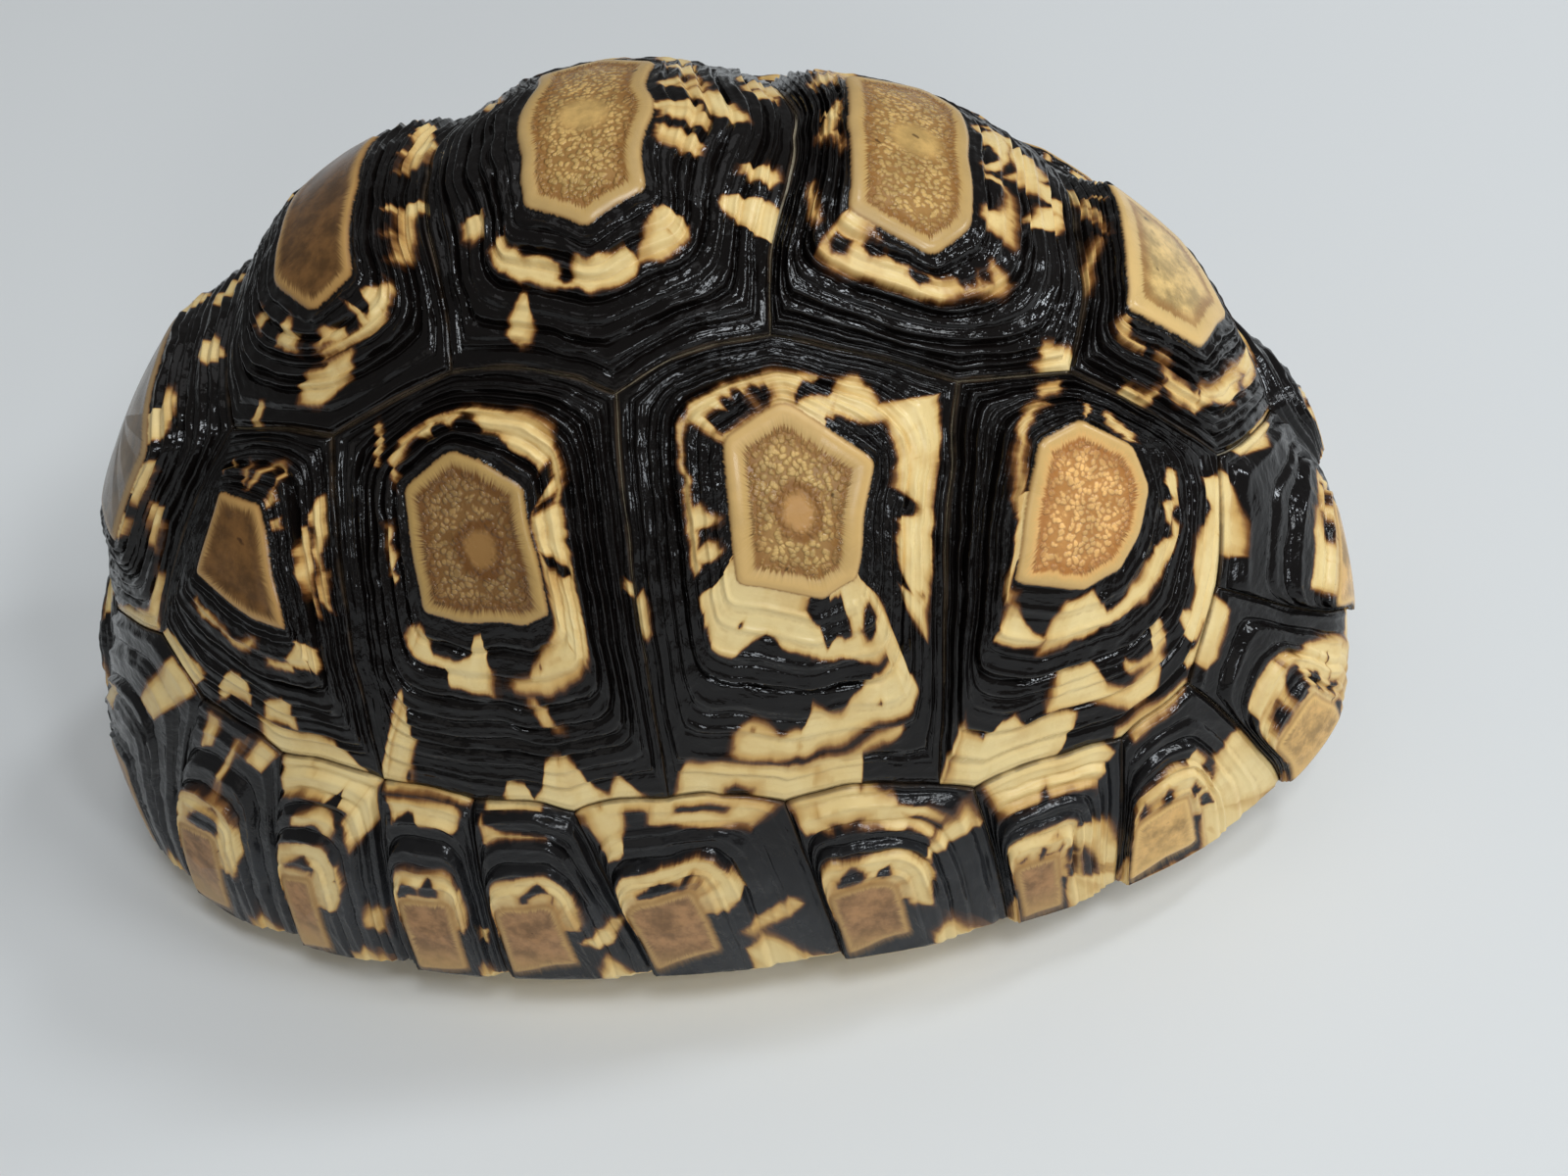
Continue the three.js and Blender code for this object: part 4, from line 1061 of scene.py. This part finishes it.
class HornFinish(Finish):
    """Scute horn: glossy black with cream patches, and a tan areola in the middle."""

    def __init__(self, name):
        super().__init__(name)
        self.grain = self.reading("grain", "Vector")
        self.areola, self.ring = self.reading("areola"), self.reading("ring")
        self.streak = self.noise(self.grain, 1.1, 4, 0.6, (1, 1, 0.22))
        self.cloud = self.noise(self.at, 260, 4, 0.6)
        self.height = self.step("ShaderNodeSeparateXYZ", {0: self.at}, 2)
        # 1 at the borders of the rings
        self.groove = self.range(self.to_half(self.ring), 0.38, 0.5)
        # how deep inside the areola, in fine rays
        rays = self.noise(self.grain, 2.2, 2, 0.5, (1, 1, 0.05))
        self.rayed = self.shake(self.areola, rays, 1.5)

    def pattern(self, stained):
        """Black horn with cream patches, whose edges are ragged. Sets light, the share of cream."""
        edge = self.shake(self.reading("pigment"), self.streak, 0.45)
        edge = self.shake(edge, self.noise(self.at, 1100, 3, 0.6), 0.12)
        ragged = self.range(self.noise(self.at, 150, 2, 0.5), 0.36, 0.6, 0.42, 1.2)
        edge = self.times(edge, ragged)
        colour = self.ramp(
            self.range(edge, -0.9, 2.1, soft=False),
            (0.0, BLACK_HORN), (0.2, BLACK_HORN), (0.27, BURNT_HORN), (0.33, AMBER_HORN),
            (0.4, HONEY_HORN), (0.54, CREAM_HORN), (1.0, PALE_HORN),
        )
        self.light = self.range(edge, -0.1, 0.3)
        # the cream is cloudy, with brown growth lines
        cloudy = self.range(self.cloud, 0.45, 0.75, 0, 0.42)
        colour = self.blend(self.times(self.light, cloudy), colour, HONEY_HORN)
        patchy = self.noise(self.grain, 0.5, 3, 0.6, (1, 1, 0.7))
        patchy = self.range(patchy, 0.4, 0.62, 0.12, 1.0)
        brown_line = self.times(self.times(self.groove, patchy), 0.17)
        colour = self.blend(self.times(brown_line, self.light), colour, LINE_BROWN)
        thin = self.range(self.to_half(self.times(self.ring, 3.0)), 0.3, 0.5, 0, 0.1)
        thin = self.times(thin, patchy)
        colour = self.blend(self.times(thin, self.light), colour, HONEY_HORN)
        # next to the areola it is stained
        stain = self.times(
            self.range(self.areola, -2.4, 0.3, 0.0, stained),
            self.range(self.cloud, 0.3, 0.6, 0.5, 1.0),
        )
        return self.blend(self.times(stain, self.light), colour, STAINED_HORN)

    def soiled(self, colour, dust):
        """Dull dust and scratches on the black, and a worn brown thread along the seam."""
        scuffs = self.noise(self.grain, 0.9, 5, 0.7, (0.35, 0.35, 2.2))
        scuffs = self.range(scuffs, 0.62, 0.8)
        soil = self.range(self.noise(self.at, 90, 4, 0.6), 0.3, 0.65, 0.55, 1.0)
        settled = self.times(soil, self.range(self.height, 0.016, 0.027, dust, 0.25 * dust))
        self.dust_share = self.add(settled, scuffs, 0.05, clamp=True)
        dark = self.math("SUBTRACT", 1.0, self.light)
        colour = self.blend(self.times(self.dust_share, dark), colour, DUSTY_HORN)
        thread = self.times(
            self.range(self.reading("seam"), 0.04, 0.34, 1.0, 0.0),
            self.range(self.noise(self.at, 170, 4, 0.65), 0.4, 0.62, 0.05, 0.6),
        )
        return self.blend(thread, colour, SEAM_BROWN)

    def pebbles(self, worn_middle):
        """Small domes, and a painted shade in the crevices between them, worn away in the middle of
        the areola.
        """
        bend = self.step(
            "ShaderNodeTexNoise", {"Vector": self.at, "Scale": 900.0, "Detail": 1.0}, "Color",
        )
        bend = self.step("ShaderNodeVectorMath", {0: bend, "Scale": 0.0006}, operation="SCALE")
        bent = self.step("ShaderNodeVectorMath", {0: self.at, 1: bend}, operation="ADD")
        cells = {"Vector": bent, "Scale": PEBBLES_PER_METRE}
        cell = self.step("ShaderNodeTexVoronoi", cells, "Distance")
        dome = self.range(cell, 0.24, 0.7, 1.0, 0.0)
        # The second result darkens the crevices between the domes: painted shade.
        if not worn_middle:
            return dome, self.range(dome, 0.0, 0.75, 0.7, 0.0)
        middle = self.reading("middle")
        worn_away = self.range(middle, 0.55 * worn_middle, 1.25 * worn_middle + 0.01)
        dome = self.times(dome, worn_away)
        return dome, self.times(self.range(dome, 0.0, 0.75, 0.7, 0.0), worn_away)

    def hatchling_plate(
        self, areola_tone, border_tone, crevice_shade, ringed, spot_tone, border_width, soft_edge, dust,
    ):
        """The areola: pebbles, or smooth worn horn, inside a pale border with fine rays."""
        mottle = self.noise(self.at, 380, 4, 0.65)
        ring_tone = tuple(tint * value for tint, value in zip(RING_TINT, areola_tone))
        pebbled = crevice_shade is not None
        darker = toned(areola_tone, 0.95 if pebbled else 0.7)
        core = self.blend(self.range(mottle, 0.34, 0.68), darker, toned(areola_tone, 1.5))
        if pebbled:
            # Painted shade: the crevices between the pebbles are darkened towards the ring tone.
            core = self.blend(crevice_shade, core, ring_tone)
        if ringed:
            start, end = border_width + 0.3, border_width + 1.9
            brown = self.band(self.rayed, (border_width - 0.2, border_width + 0.2), (start, end))
            core = self.blend(self.times(brown, 0.75), core, ring_tone)
        if spot_tone:
            middle = self.shake(self.reading("middle"), mottle, 1.6)
            core = self.blend(self.range(middle, 1.3, 2.1, 0.85, 0.0), core, spot_tone)
            halo = self.band(middle, (1.2, 1.9), (2.1, 2.7))
            core = self.blend(self.times(halo, 0.9), core, ring_tone)
        cloudy = self.range(self.cloud, 0.4, 0.7, 0, 0.5)
        pale = self.blend(cloudy, border_tone, toned(border_tone, 0.78))
        inner = self.range(self.rayed, 0.5 * border_width, border_width, 0.0, 0.7)
        pale = self.blend(inner, pale, toned(areola_tone, 1.15))
        border = self.range(self.rayed, border_width - 0.25, border_width + 0.3, 1.0, 0.0)
        core = self.blend(border, core, pale)
        if dust:
            low = self.range(self.height, 0.0075, 0.0135, 0.8, 0.0)
            core = self.blend(low, core, border_tone)
        specks = self.range(self.noise(self.at, 620, 2, 0.5), 0.72, 0.78, 0, 0.7)
        core = self.blend(specks, core, BURNT_HORN)
        rim_line = self.math("ABSOLUTE", self.areola)
        rim_line = self.range(rim_line, 0.0, 0.22 + soft_edge, 0.6, 0.0)
        return self.blend(rim_line, core, AMBER_HORN)

    def gloss(self, inside):
        """Bright on the black, silkier on the cream, dull on the areola and under dust."""
        rough = self.range(self.light, 0, 1, 0.09, 0.25)
        rough = self.add(rough, self.dust_share, 0.3)
        rough = self.add(rough, self.range(self.cloud, 0.35, 0.7), 0.08)
        return self.add(rough, inside, 0.12, clamp=True)

    def relief(self, inside, domes, border_width):
        """Hairline growth marks between the rings, pebbles, and a skin of fine pores."""
        hairline = self.noise(self.grain, 1.0, 3, 0.5, (0.4, 0.4, 1.15))
        outside = self.math("SUBTRACT", 1.0, inside)
        marked = self.times(self.range(self.light, 0, 1, 0.75, 0.2), outside)
        relief = self.bump(hairline, 0.0002, marked)
        lines = self.math("SUBTRACT", 1.0, self.groove)
        relief = self.bump(lines, 0.0001, self.range(self.light, 0, 1, 0.4, 0.06), relief)
        if domes is not None:
            in_core = self.range(self.rayed, border_width, border_width + 0.5)
            relief = self.bump(self.times(domes, in_core), 0.00012, 1.0, relief)
        return self.bump(self.noise(self.at, 1500, 2, 0.5), 0.00002, 0.5, relief)


def horn_finish(
    name, areola_tone, border_tone, pebbled=True, ringed=True, spot_tone=None, worn_middle=0.0,
    dust=0.0, border_width=1.4, soft_edge=0.12, stained=0.2,
):
    made = HornFinish(name)
    colour = made.soiled(made.pattern(stained), dust)
    inside = made.shake(made.areola, made.streak, 0.5)
    inside = made.range(inside, -soft_edge, soft_edge)
    # crevice_shade is painted shade in the gaps between the pebbles.
    domes, crevice_shade = made.pebbles(worn_middle) if pebbled else (None, None)
    plate = made.hatchling_plate(
        areola_tone, border_tone, crevice_shade, ringed, spot_tone, border_width, soft_edge, dust,
    )
    made.surface["Specular IOR Level"].default_value = HORN_SHINE
    return made.coat(
        made.blend(inside, colour, plate), made.gloss(inside),
        made.relief(inside, domes, border_width),
    )


def plastron_finish():
    made = Finish("plastron horn")
    grain = made.reading("grain", "Vector")
    streak = made.noise(grain, 1.2, 4, 0.6, (1, 1, 0.15))
    edge = made.shake(made.reading("pigment"), streak, 2.4)
    colour = made.ramp(
        made.range(edge, -1.5, 2.5, soft=False),
        (0.0, (0.012, 0.009, 0.007)), (0.3, BURNT_HORN), (0.42, HONEY_HORN), (1.0, CREAM_HORN),
    )
    cloud = made.range(made.noise(made.at, 140, 5, 0.6), 0.4, 0.7)
    colour = made.blend(made.times(cloud, 0.35), colour, (0.5, 0.34, 0.17))
    thread = made.range(made.reading("seam"), 0.05, 0.5, 0.7, 0.0)
    colour = made.blend(thread, colour, (0.16, 0.1, 0.05))
    roughness = made.range(made.noise(made.at, 900, 3, 0.6), 0.3, 0.7, 0.36, 0.55)
    lines = made.noise(grain, 2, 4, 0.6, (0.3, 0.3, 3))
    return made.coat(colour, roughness, made.bump(lines, 0.0002, 0.6))


def bone_finish():
    made = Finish("dry bone")
    cloud = made.noise(made.at, 70, 5, 0.6)
    colour = made.ramp(
        cloud, (0.3, (0.42, 0.31, 0.18)), (0.52, (0.6, 0.49, 0.32)), (0.7, (0.72, 0.63, 0.46)),
    )
    cells = made.step(
        "ShaderNodeTexVoronoi", {"Vector": made.at, "Scale": 62.0, "Randomness": 0.9}, "Distance",
        feature="DISTANCE_TO_EDGE",
    )
    suture = made.shake(cells, made.noise(made.at, 900, 2, 0.6), 0.05)
    suture = made.range(suture, 0.006, 0.03, 1.0, 0.0)
    colour = made.blend(made.times(suture, 0.55), colour, (0.2, 0.12, 0.06))
    pores = made.noise(made.at, 1400, 3, 0.7)
    colour = made.blend(made.range(pores, 0.6, 0.72, 0.0, 0.5), colour, (0.26, 0.17, 0.09))
    relief = made.bump(pores, 0.00025, 0.6, made.bump(suture, 0.0003, 0.5))
    return made.coat(colour, made.range(pores, 0.3, 0.7, 0.6, 0.82), relief)


SMOOTH_PLATE = {"pebbled": False, "ringed": False}
HORN_FINISHES = {
    "russet": horn_finish("russet-centred horn", (0.68, 0.38, 0.13), (0.66, 0.42, 0.155)),
    "spot": horn_finish(
        "tan horn with a central spot", (0.46, 0.29, 0.1), (0.66, 0.42, 0.155),
        spot_tone=(0.5, 0.25, 0.08), worn_middle=1.6, border_width=1.8,
    ),
    "brown": horn_finish(
        "brown-centred horn", (0.26, 0.15, 0.052), (0.48, 0.3, 0.1),
        spot_tone=(0.3, 0.15, 0.045), worn_middle=1.6, border_width=1.2,
    ),
    "honey": horn_finish(
        "honey-centred horn", (0.55, 0.37, 0.14), (0.72, 0.48, 0.19), pebbled=False,
        border_width=1.8,
    ),
    # The rear scutes, away from the light, get this darker areola: partly the horn's own tone,
    # partly painted shade.
    "dark": horn_finish(
        "dark-centred horn, partly painted shade", (0.135, 0.062, 0.018), (0.46, 0.26, 0.085), border_width=1.1,
        **SMOOTH_PLATE,
    ),
    "grey": horn_finish(
        "grey-centred horn", (0.15, 0.1, 0.055), (0.38, 0.25, 0.12), border_width=1.1,
        **SMOOTH_PLATE,
    ),
    "crown": horn_finish(
        "tan-centred horn, worn on the crown", (0.46, 0.285, 0.095), (0.54, 0.35, 0.135),
        worn_middle=2.6,
    ),
    "rim": horn_finish(
        "dusty rim horn", (0.3, 0.16, 0.07), (0.52, 0.32, 0.12), dust=0.5, border_width=0.8,
        soft_edge=0.4, stained=0.6, **SMOOTH_PLATE,
    ),
    "front rim": horn_finish(
        "honey rim horn", (0.5, 0.3, 0.105), (0.74, 0.47, 0.17), dust=0.15, border_width=0.9,
        soft_edge=0.3, stained=0.4, **SMOOTH_PLATE,
    ),
}
PLASTRON_FINISH = plastron_finish()
BONE_FINISH = bone_finish()

# ---- The scutes of the carapace ----

LARGE_BLANK = spun_blank("large blank", 288, 20, 100, 8)
SMALL_BLANK = spun_blank("small blank", 144, 12, 60, 6)
FLAT_BLANK = spun_blank("flat blank", 96, 10, 26, 4)
# The "dark" finish on the rear scutes is darker partly in the horn's own tone and partly as painted
# shade.
VERTEBRAL_FINISHES = ("honey", "crown", "crown", "dark", "grey")
COSTAL_FINISHES = ("russet", "spot", "brown", "dark")
HONEY_MARGINALS = 3  # the others are dusty
CARAPACE_RINGS, RIM_RINGS = 9, 6
FLAT_DISH, VERTEBRAL_DISH, COSTAL_DISH = 0.05, 0.18, 0.16
RIM_LOOKS = {"rings": RIM_RINGS, "dish": 0.04, "rise": 0.16, "uneven": 0.7}
SIDES = {"right": -1, "left": 1}
PATCH_SLIDE, PATCH_GROWTH = 0.1, 0.05  # in corners and in rings, between the two sides


def jittered(patches, seed):
    """The same kind of pattern on the far side: every patch is a little elsewhere."""
    random = np.random.default_rng(seed)
    moved = []
    for kind, places in patches:
        slide = random.uniform(-PATCH_SLIDE, PATCH_SLIDE)
        out = random.uniform(-PATCH_GROWTH, PATCH_GROWTH)
        moved.append((kind, tuple(
            (corner + slide, inner + (out if inner > 0 else 0), outer + (out if outer < 1 else 0))
            for corner, inner, outer in places
        )))
    return moved


def seen_from_the_other_side(patches, corners):
    return [
        (kind, tuple((corners - corner, inner, outer) for corner, inner, outer in reversed(places)))
        for kind, places in patches
    ]


for number, (shape, patches) in enumerate(zip(VERTEBRALS, VERTEBRAL_PATTERNS), 1):
    corners = len(shape[0])
    near_half = [patch for patch in patches if patch[1][0][0] < corners / 2]
    far = seen_from_the_other_side(near_half, corners)
    make_scute(
        f"vertebral_scute_{number}", LARGE_BLANK, shape, -1, patches + jittered(far, 40 + number),
        100 + 20 * number, VERTEBRAL_FINISHES[number - 1], "carapace_horn", CARAPACE_RINGS,
        FLAT_DISH if number in (1, 4, 5) else VERTEBRAL_DISH,
    )

for side_name, side in SIDES.items():
    near = side_name == "right"
    for number, (shape, patches) in enumerate(zip(COSTALS, COSTAL_PATTERNS), 1):
        make_scute(
            f"costal_scute_{side_name}_{number}", LARGE_BLANK, shape, side,
            patches if near else jittered(patches, 60 + number),
            (300 if near else 500) + 20 * number, COSTAL_FINISHES[number - 1], "carapace_horn",
            CARAPACE_RINGS, FLAT_DISH if number == 4 else COSTAL_DISH,
        )
    for seam, patches in enumerate(MARGINAL_PATTERNS):
        make_scute(
            f"marginal_scute_{side_name}_{seam + 1}", SMALL_BLANK, marginal(seam), side,
            patches if near else jittered(patches, 80 + seam),
            (700 if near else 1000) + 20 * seam, "front rim" if seam < HONEY_MARGINALS else "rim",
            "rim_horn", **RIM_LOOKS,
        )

make_scute(
    "supracaudal_scute", SMALL_BLANK, tuple(both_halves(half) for half in SUPRACAUDAL), 1,
    SUPRACAUDAL_PATTERN, 1300, "rim", "rim_horn", **RIM_LOOKS,
)

# ---- The scutes of the plastron, in millimetres, for the side at +Y ----

PLASTRALS = {
    "gular": [(59, 0), (61, 5), (57, 12), (48, 0)],
    "humeral": [(48, 0), (57, 12), (47, 18), (37, 21), (30, 17), (28, 0)],
    "pectoral": [(28, 0), (30, 17), (37, 21), (30, 23), (29, 29.5), (22, 31), (19, 0)],
    "abdominal": [(19, 0), (22, 31), (9, 32.7), (-9, 32.7), (-22, 31), (-25, 24), (-17, 0)],
    "femoral": [(-17, 0), (-25, 24), (-31, 27), (-37, 23), (-46, 19), (-35, 0)],
    "anal": [(-35, 0), (-46, 19), (-52, 11), (-51, 6), (-46, 0)],
    "axillary": [(37, 21), (33, 26), (29, 29.5), (30, 23)],
    "inguinal": [(-22, 31), (-25, 24), (-31, 27)],
}
PLASTRAL_RINGS = 12
PLASTRAL_GROOVE, PLASTRAL_FALL = 0.12, 0.22
PLASTRAL_AREOLA = 0.22  # its size, of the scute's
PLASTRAL_OFF_CENTRE = 0.3  # how far its middle lies towards the outermost corner


def plastral_pattern(seed, corners):
    """Cream, with dark blotches that ray out from the areola."""
    random = np.random.default_rng(seed)
    patches = [(CREAM, ((-1, -1, 2), (corners + 1, -1, 2)))]
    for _ in range(corners + 1):
        start, wide = random.uniform(0, corners), random.uniform(0.15, 0.5)
        inner = random.uniform(0.15, 0.5)
        outer = inner + random.uniform(0.2, 0.4)
        blotch = ((start, inner, outer - 0.1), (start + wide, inner + 0.1, outer))
        patches.append((BLACK, blotch))
    return patches


def make_plastral(name, outline, side, seed):
    corners = np.array(outline, dtype=float)
    outermost = corners[np.argmax(corners[:, 1])]
    middle = mix(corners.mean(0), outermost, PLASTRAL_OFF_CENTRE)
    areola = mix(middle, corners, PLASTRAL_AREOLA)
    growth = Growth(FLAT_BLANK, corners, areola, on_plastron, side, inset=0.2)
    out = np.clip(growth.ring, 0, 1)
    part = out * PLASTRAL_RINGS - np.floor(out * PLASTRAL_RINGS)
    groove = (1 - np.sin(np.pi * part) ** 0.6) * PLASTRAL_GROOVE
    relief = 0.03 + PLASTRAL_FALL * out**2 + groove + 0.03 * growth.comb(2, 2, seed)
    relief = np.maximum(LOWEST, relief)
    mesh = FLAT_BLANK[0].copy()
    mesh.name = name
    move_points(mesh, on_plastron(growth.map, mix(relief, PLASTRON_HORN, growth.under)) * MM)
    pigment = growth.pigment(plastral_pattern(seed, len(corners)), seed, 1.6)
    add_reading(mesh, "pigment", pigment)
    add_reading(mesh, "seam", growth.to_seam_mm)
    add_reading(mesh, "grain", np.column_stack([growth.around, growth.out_mm]))
    shown(name, mesh, PLASTRON_FINISH, "plastron_horn", name)


for side_name, side in SIDES.items():
    for index, (kind, outline) in enumerate(PLASTRALS.items()):
        seed = 1500 + 20 * index + (200 if side < 0 else 0)
        make_plastral(f"{kind}_scute_{side_name}", outline, side, seed)

# ---- The fused bone under the scutes ----

OPENING_START = 1.12  # where the bone of the carapace ends on the map, over the legs
BRIDGE_REACH, NECK_CUT = 0.23, 0.16
# Half of the outline of the floor of bone, in millimetres
FLOOR_SIDE = [
    (61, 5), (57, 12), (47, 18), (37, 21), (33, 26), (29, 29.5), (22, 31), (9, 32.7),
    (-9, 32.7), (-22, 31), (-31, 27), (-37, 23), (-46, 19), (-52, 11), (-51, 6),
]
FLOOR_FRONT, FLOOR_REAR = (59, 0), (-46, 0)


def carapace_bone():
    """A double-walled cap, open below."""
    cap, _ = spun_blank("bone blank", 160, 20, 76, 96)
    disc = points_of(cap)
    phi = np.arctan2(disc[:, 1], disc[:, 0])
    rim = dome_point(phi, np.ones_like(phi))
    end = OPENING_START + BRIDGE_REACH * bridge_share(rim[:, 0]) - NECK_CUT * neck_share(phi)
    rho = end * np.hypot(disc[:, 0], disc[:, 1])
    places = np.stack([rho * np.cos(phi), rho * np.sin(phi)], -1)
    rough = 0.06 * drift(np.column_stack([places * 40, 0 * rho]), 90)
    depth = seam_depth(places) + HORN + GAP - disc[:, 2] * BONE + rough
    move_points(cap, skin(phi, rho, depth) * MM)
    return cap


def plastron_bone():
    """The bone floor, let into the bridges at its sides."""
    outline = mirrored(FLOOR_FRONT, FLOOR_SIDE, FLOOR_REAR)
    core = [(x * 0.3, y * 0.3) for x, y in outline]
    blank = spun_blank("plastron bone", 160, 12, 40, 40)
    growth = Growth(blank, outline, core, on_plastron, 1, inset=0.6)
    low, high = PLASTRON_HORN + GAP, PLASTRON_TOP
    rough = 0.05 * drift(np.column_stack([growth.map / 3, growth.under]), 91)
    depth = mix(low + 0.05, high - 0.1, growth.under) + rough
    move_points(blank[0], on_plastron(growth.map, depth) * MM)
    return blank[0]


def joined(*meshes):
    work = bmesh.new()
    for mesh in meshes:
        face_outwards(mesh)
        work.from_mesh(mesh)
    whole = bpy.data.meshes.new("bone_shell")
    work.to_mesh(whole)
    work.free()
    return whole


shell = joined(carapace_bone(), plastron_bone())
shown("bone_shell_detail", shell, BONE_FINISH, "bone", "bone_shell")

# ---- Floor, light and camera, in metres ----

FLOOR_HALF_SIZE = 6
LIT_POINT = (0, 0, 0.03)
COOL_LIGHT = (0.88, 0.94, 1.0)
LIGHTS = [  # name, place, size across, watts, colour
    ("ceiling", (0.1, 0.5, 1.3), 0.8, 1.15, (0.97, 0.98, 1.0)),
    ("room", (-0.3, -1.1, 0.6), 0.8, 0.5, (1.0, 0.97, 0.93)),
    ("window", (0.78, -0.3, 0.9), 0.32, 2.8, (0.93, 0.97, 1.0)),
    ("upper pane", (0.27, -0.45, 1.15), 0.3, 3.6, (0.9, 0.95, 1.0)),
    ("front pane", (0.61, -0.62, 0.9), 0.16, 1.9, COOL_LIGHT),
    ("back pane", (0.6, 0.25, 1.05), 0.18, 2.2, COOL_LIGHT),
    ("side pane", (1.1, 0.2, 0.5), 0.16, 2.3, COOL_LIGHT),
    ("low pane", (0.25, -1.05, 0.5), 0.24, 1.7, COOL_LIGHT),
]
ROOM_COLOUR, ROOM_STRENGTH = (0.96, 0.99, 1.0, 1), 0.18
CAMERA_RIGHT = (0.991235, 0.002928, -0.132077)
CAMERA_UP = (0.089365, 0.721447, 0.686679)
CAMERA_BACK = (0.097297, -0.692464, 0.714862)
CAMERA_PLACE = (0.03276, -0.17392, 0.19905)
SENSOR_MM, LENS_MM = 36, 52.17


def paper_floor():
    made = Finish("pale paper")
    tone = made.ramp(
        made.noise(made.at, 3, 2, 0.5), (0.3, (0.75, 0.755, 0.75)), (0.7, (0.78, 0.785, 0.775)),
    )
    work = bmesh.new()
    bmesh.ops.create_grid(work, x_segments=1, y_segments=1, size=FLOOR_HALF_SIZE)
    mesh = bpy.data.meshes.new("floor")
    work.to_mesh(mesh)
    work.free()
    mesh.materials.append(made.coat(tone, 0.7))
    floor = bpy.data.objects.new("floor", mesh)
    bpy.context.scene.collection.objects.link(floor)


def soft_light(name, place, size, watts, colour):
    lamp = bpy.data.lights.new(name, "AREA")
    lamp.shape, lamp.size, lamp.energy, lamp.color = "DISK", size, watts, colour
    holder = bpy.data.objects.new(name, lamp)
    bpy.context.scene.collection.objects.link(holder)
    holder.location = place
    holder.rotation_mode = "QUATERNION"
    holder.rotation_quaternion = (Vector(place) - Vector(LIT_POINT)).to_track_quat("Z", "Y")


paper_floor()
for light in LIGHTS:
    soft_light(*light)

world = bpy.data.worlds.new("room light")
bpy.context.scene.world = world
world.use_nodes = True
background = world.node_tree.nodes["Background"].inputs
background["Color"].default_value = ROOM_COLOUR
background["Strength"].default_value = ROOM_STRENGTH
bpy.context.scene.view_settings.view_transform = "Standard"

camera = bpy.data.cameras.new("camera")
camera.sensor_width, camera.lens = SENSOR_MM, LENS_MM
camera.clip_start, camera.clip_end = 0.01, 20
holder = bpy.data.objects.new("camera", camera)
bpy.context.scene.collection.objects.link(holder)
holder.matrix_world = Matrix(
    ((*CAMERA_RIGHT, 0), (*CAMERA_UP, 0), (*CAMERA_BACK, 0), (*CAMERA_PLACE, 1)),
).transposed()
bpy.context.scene.camera = holder

bpy.context.view_layer.update()
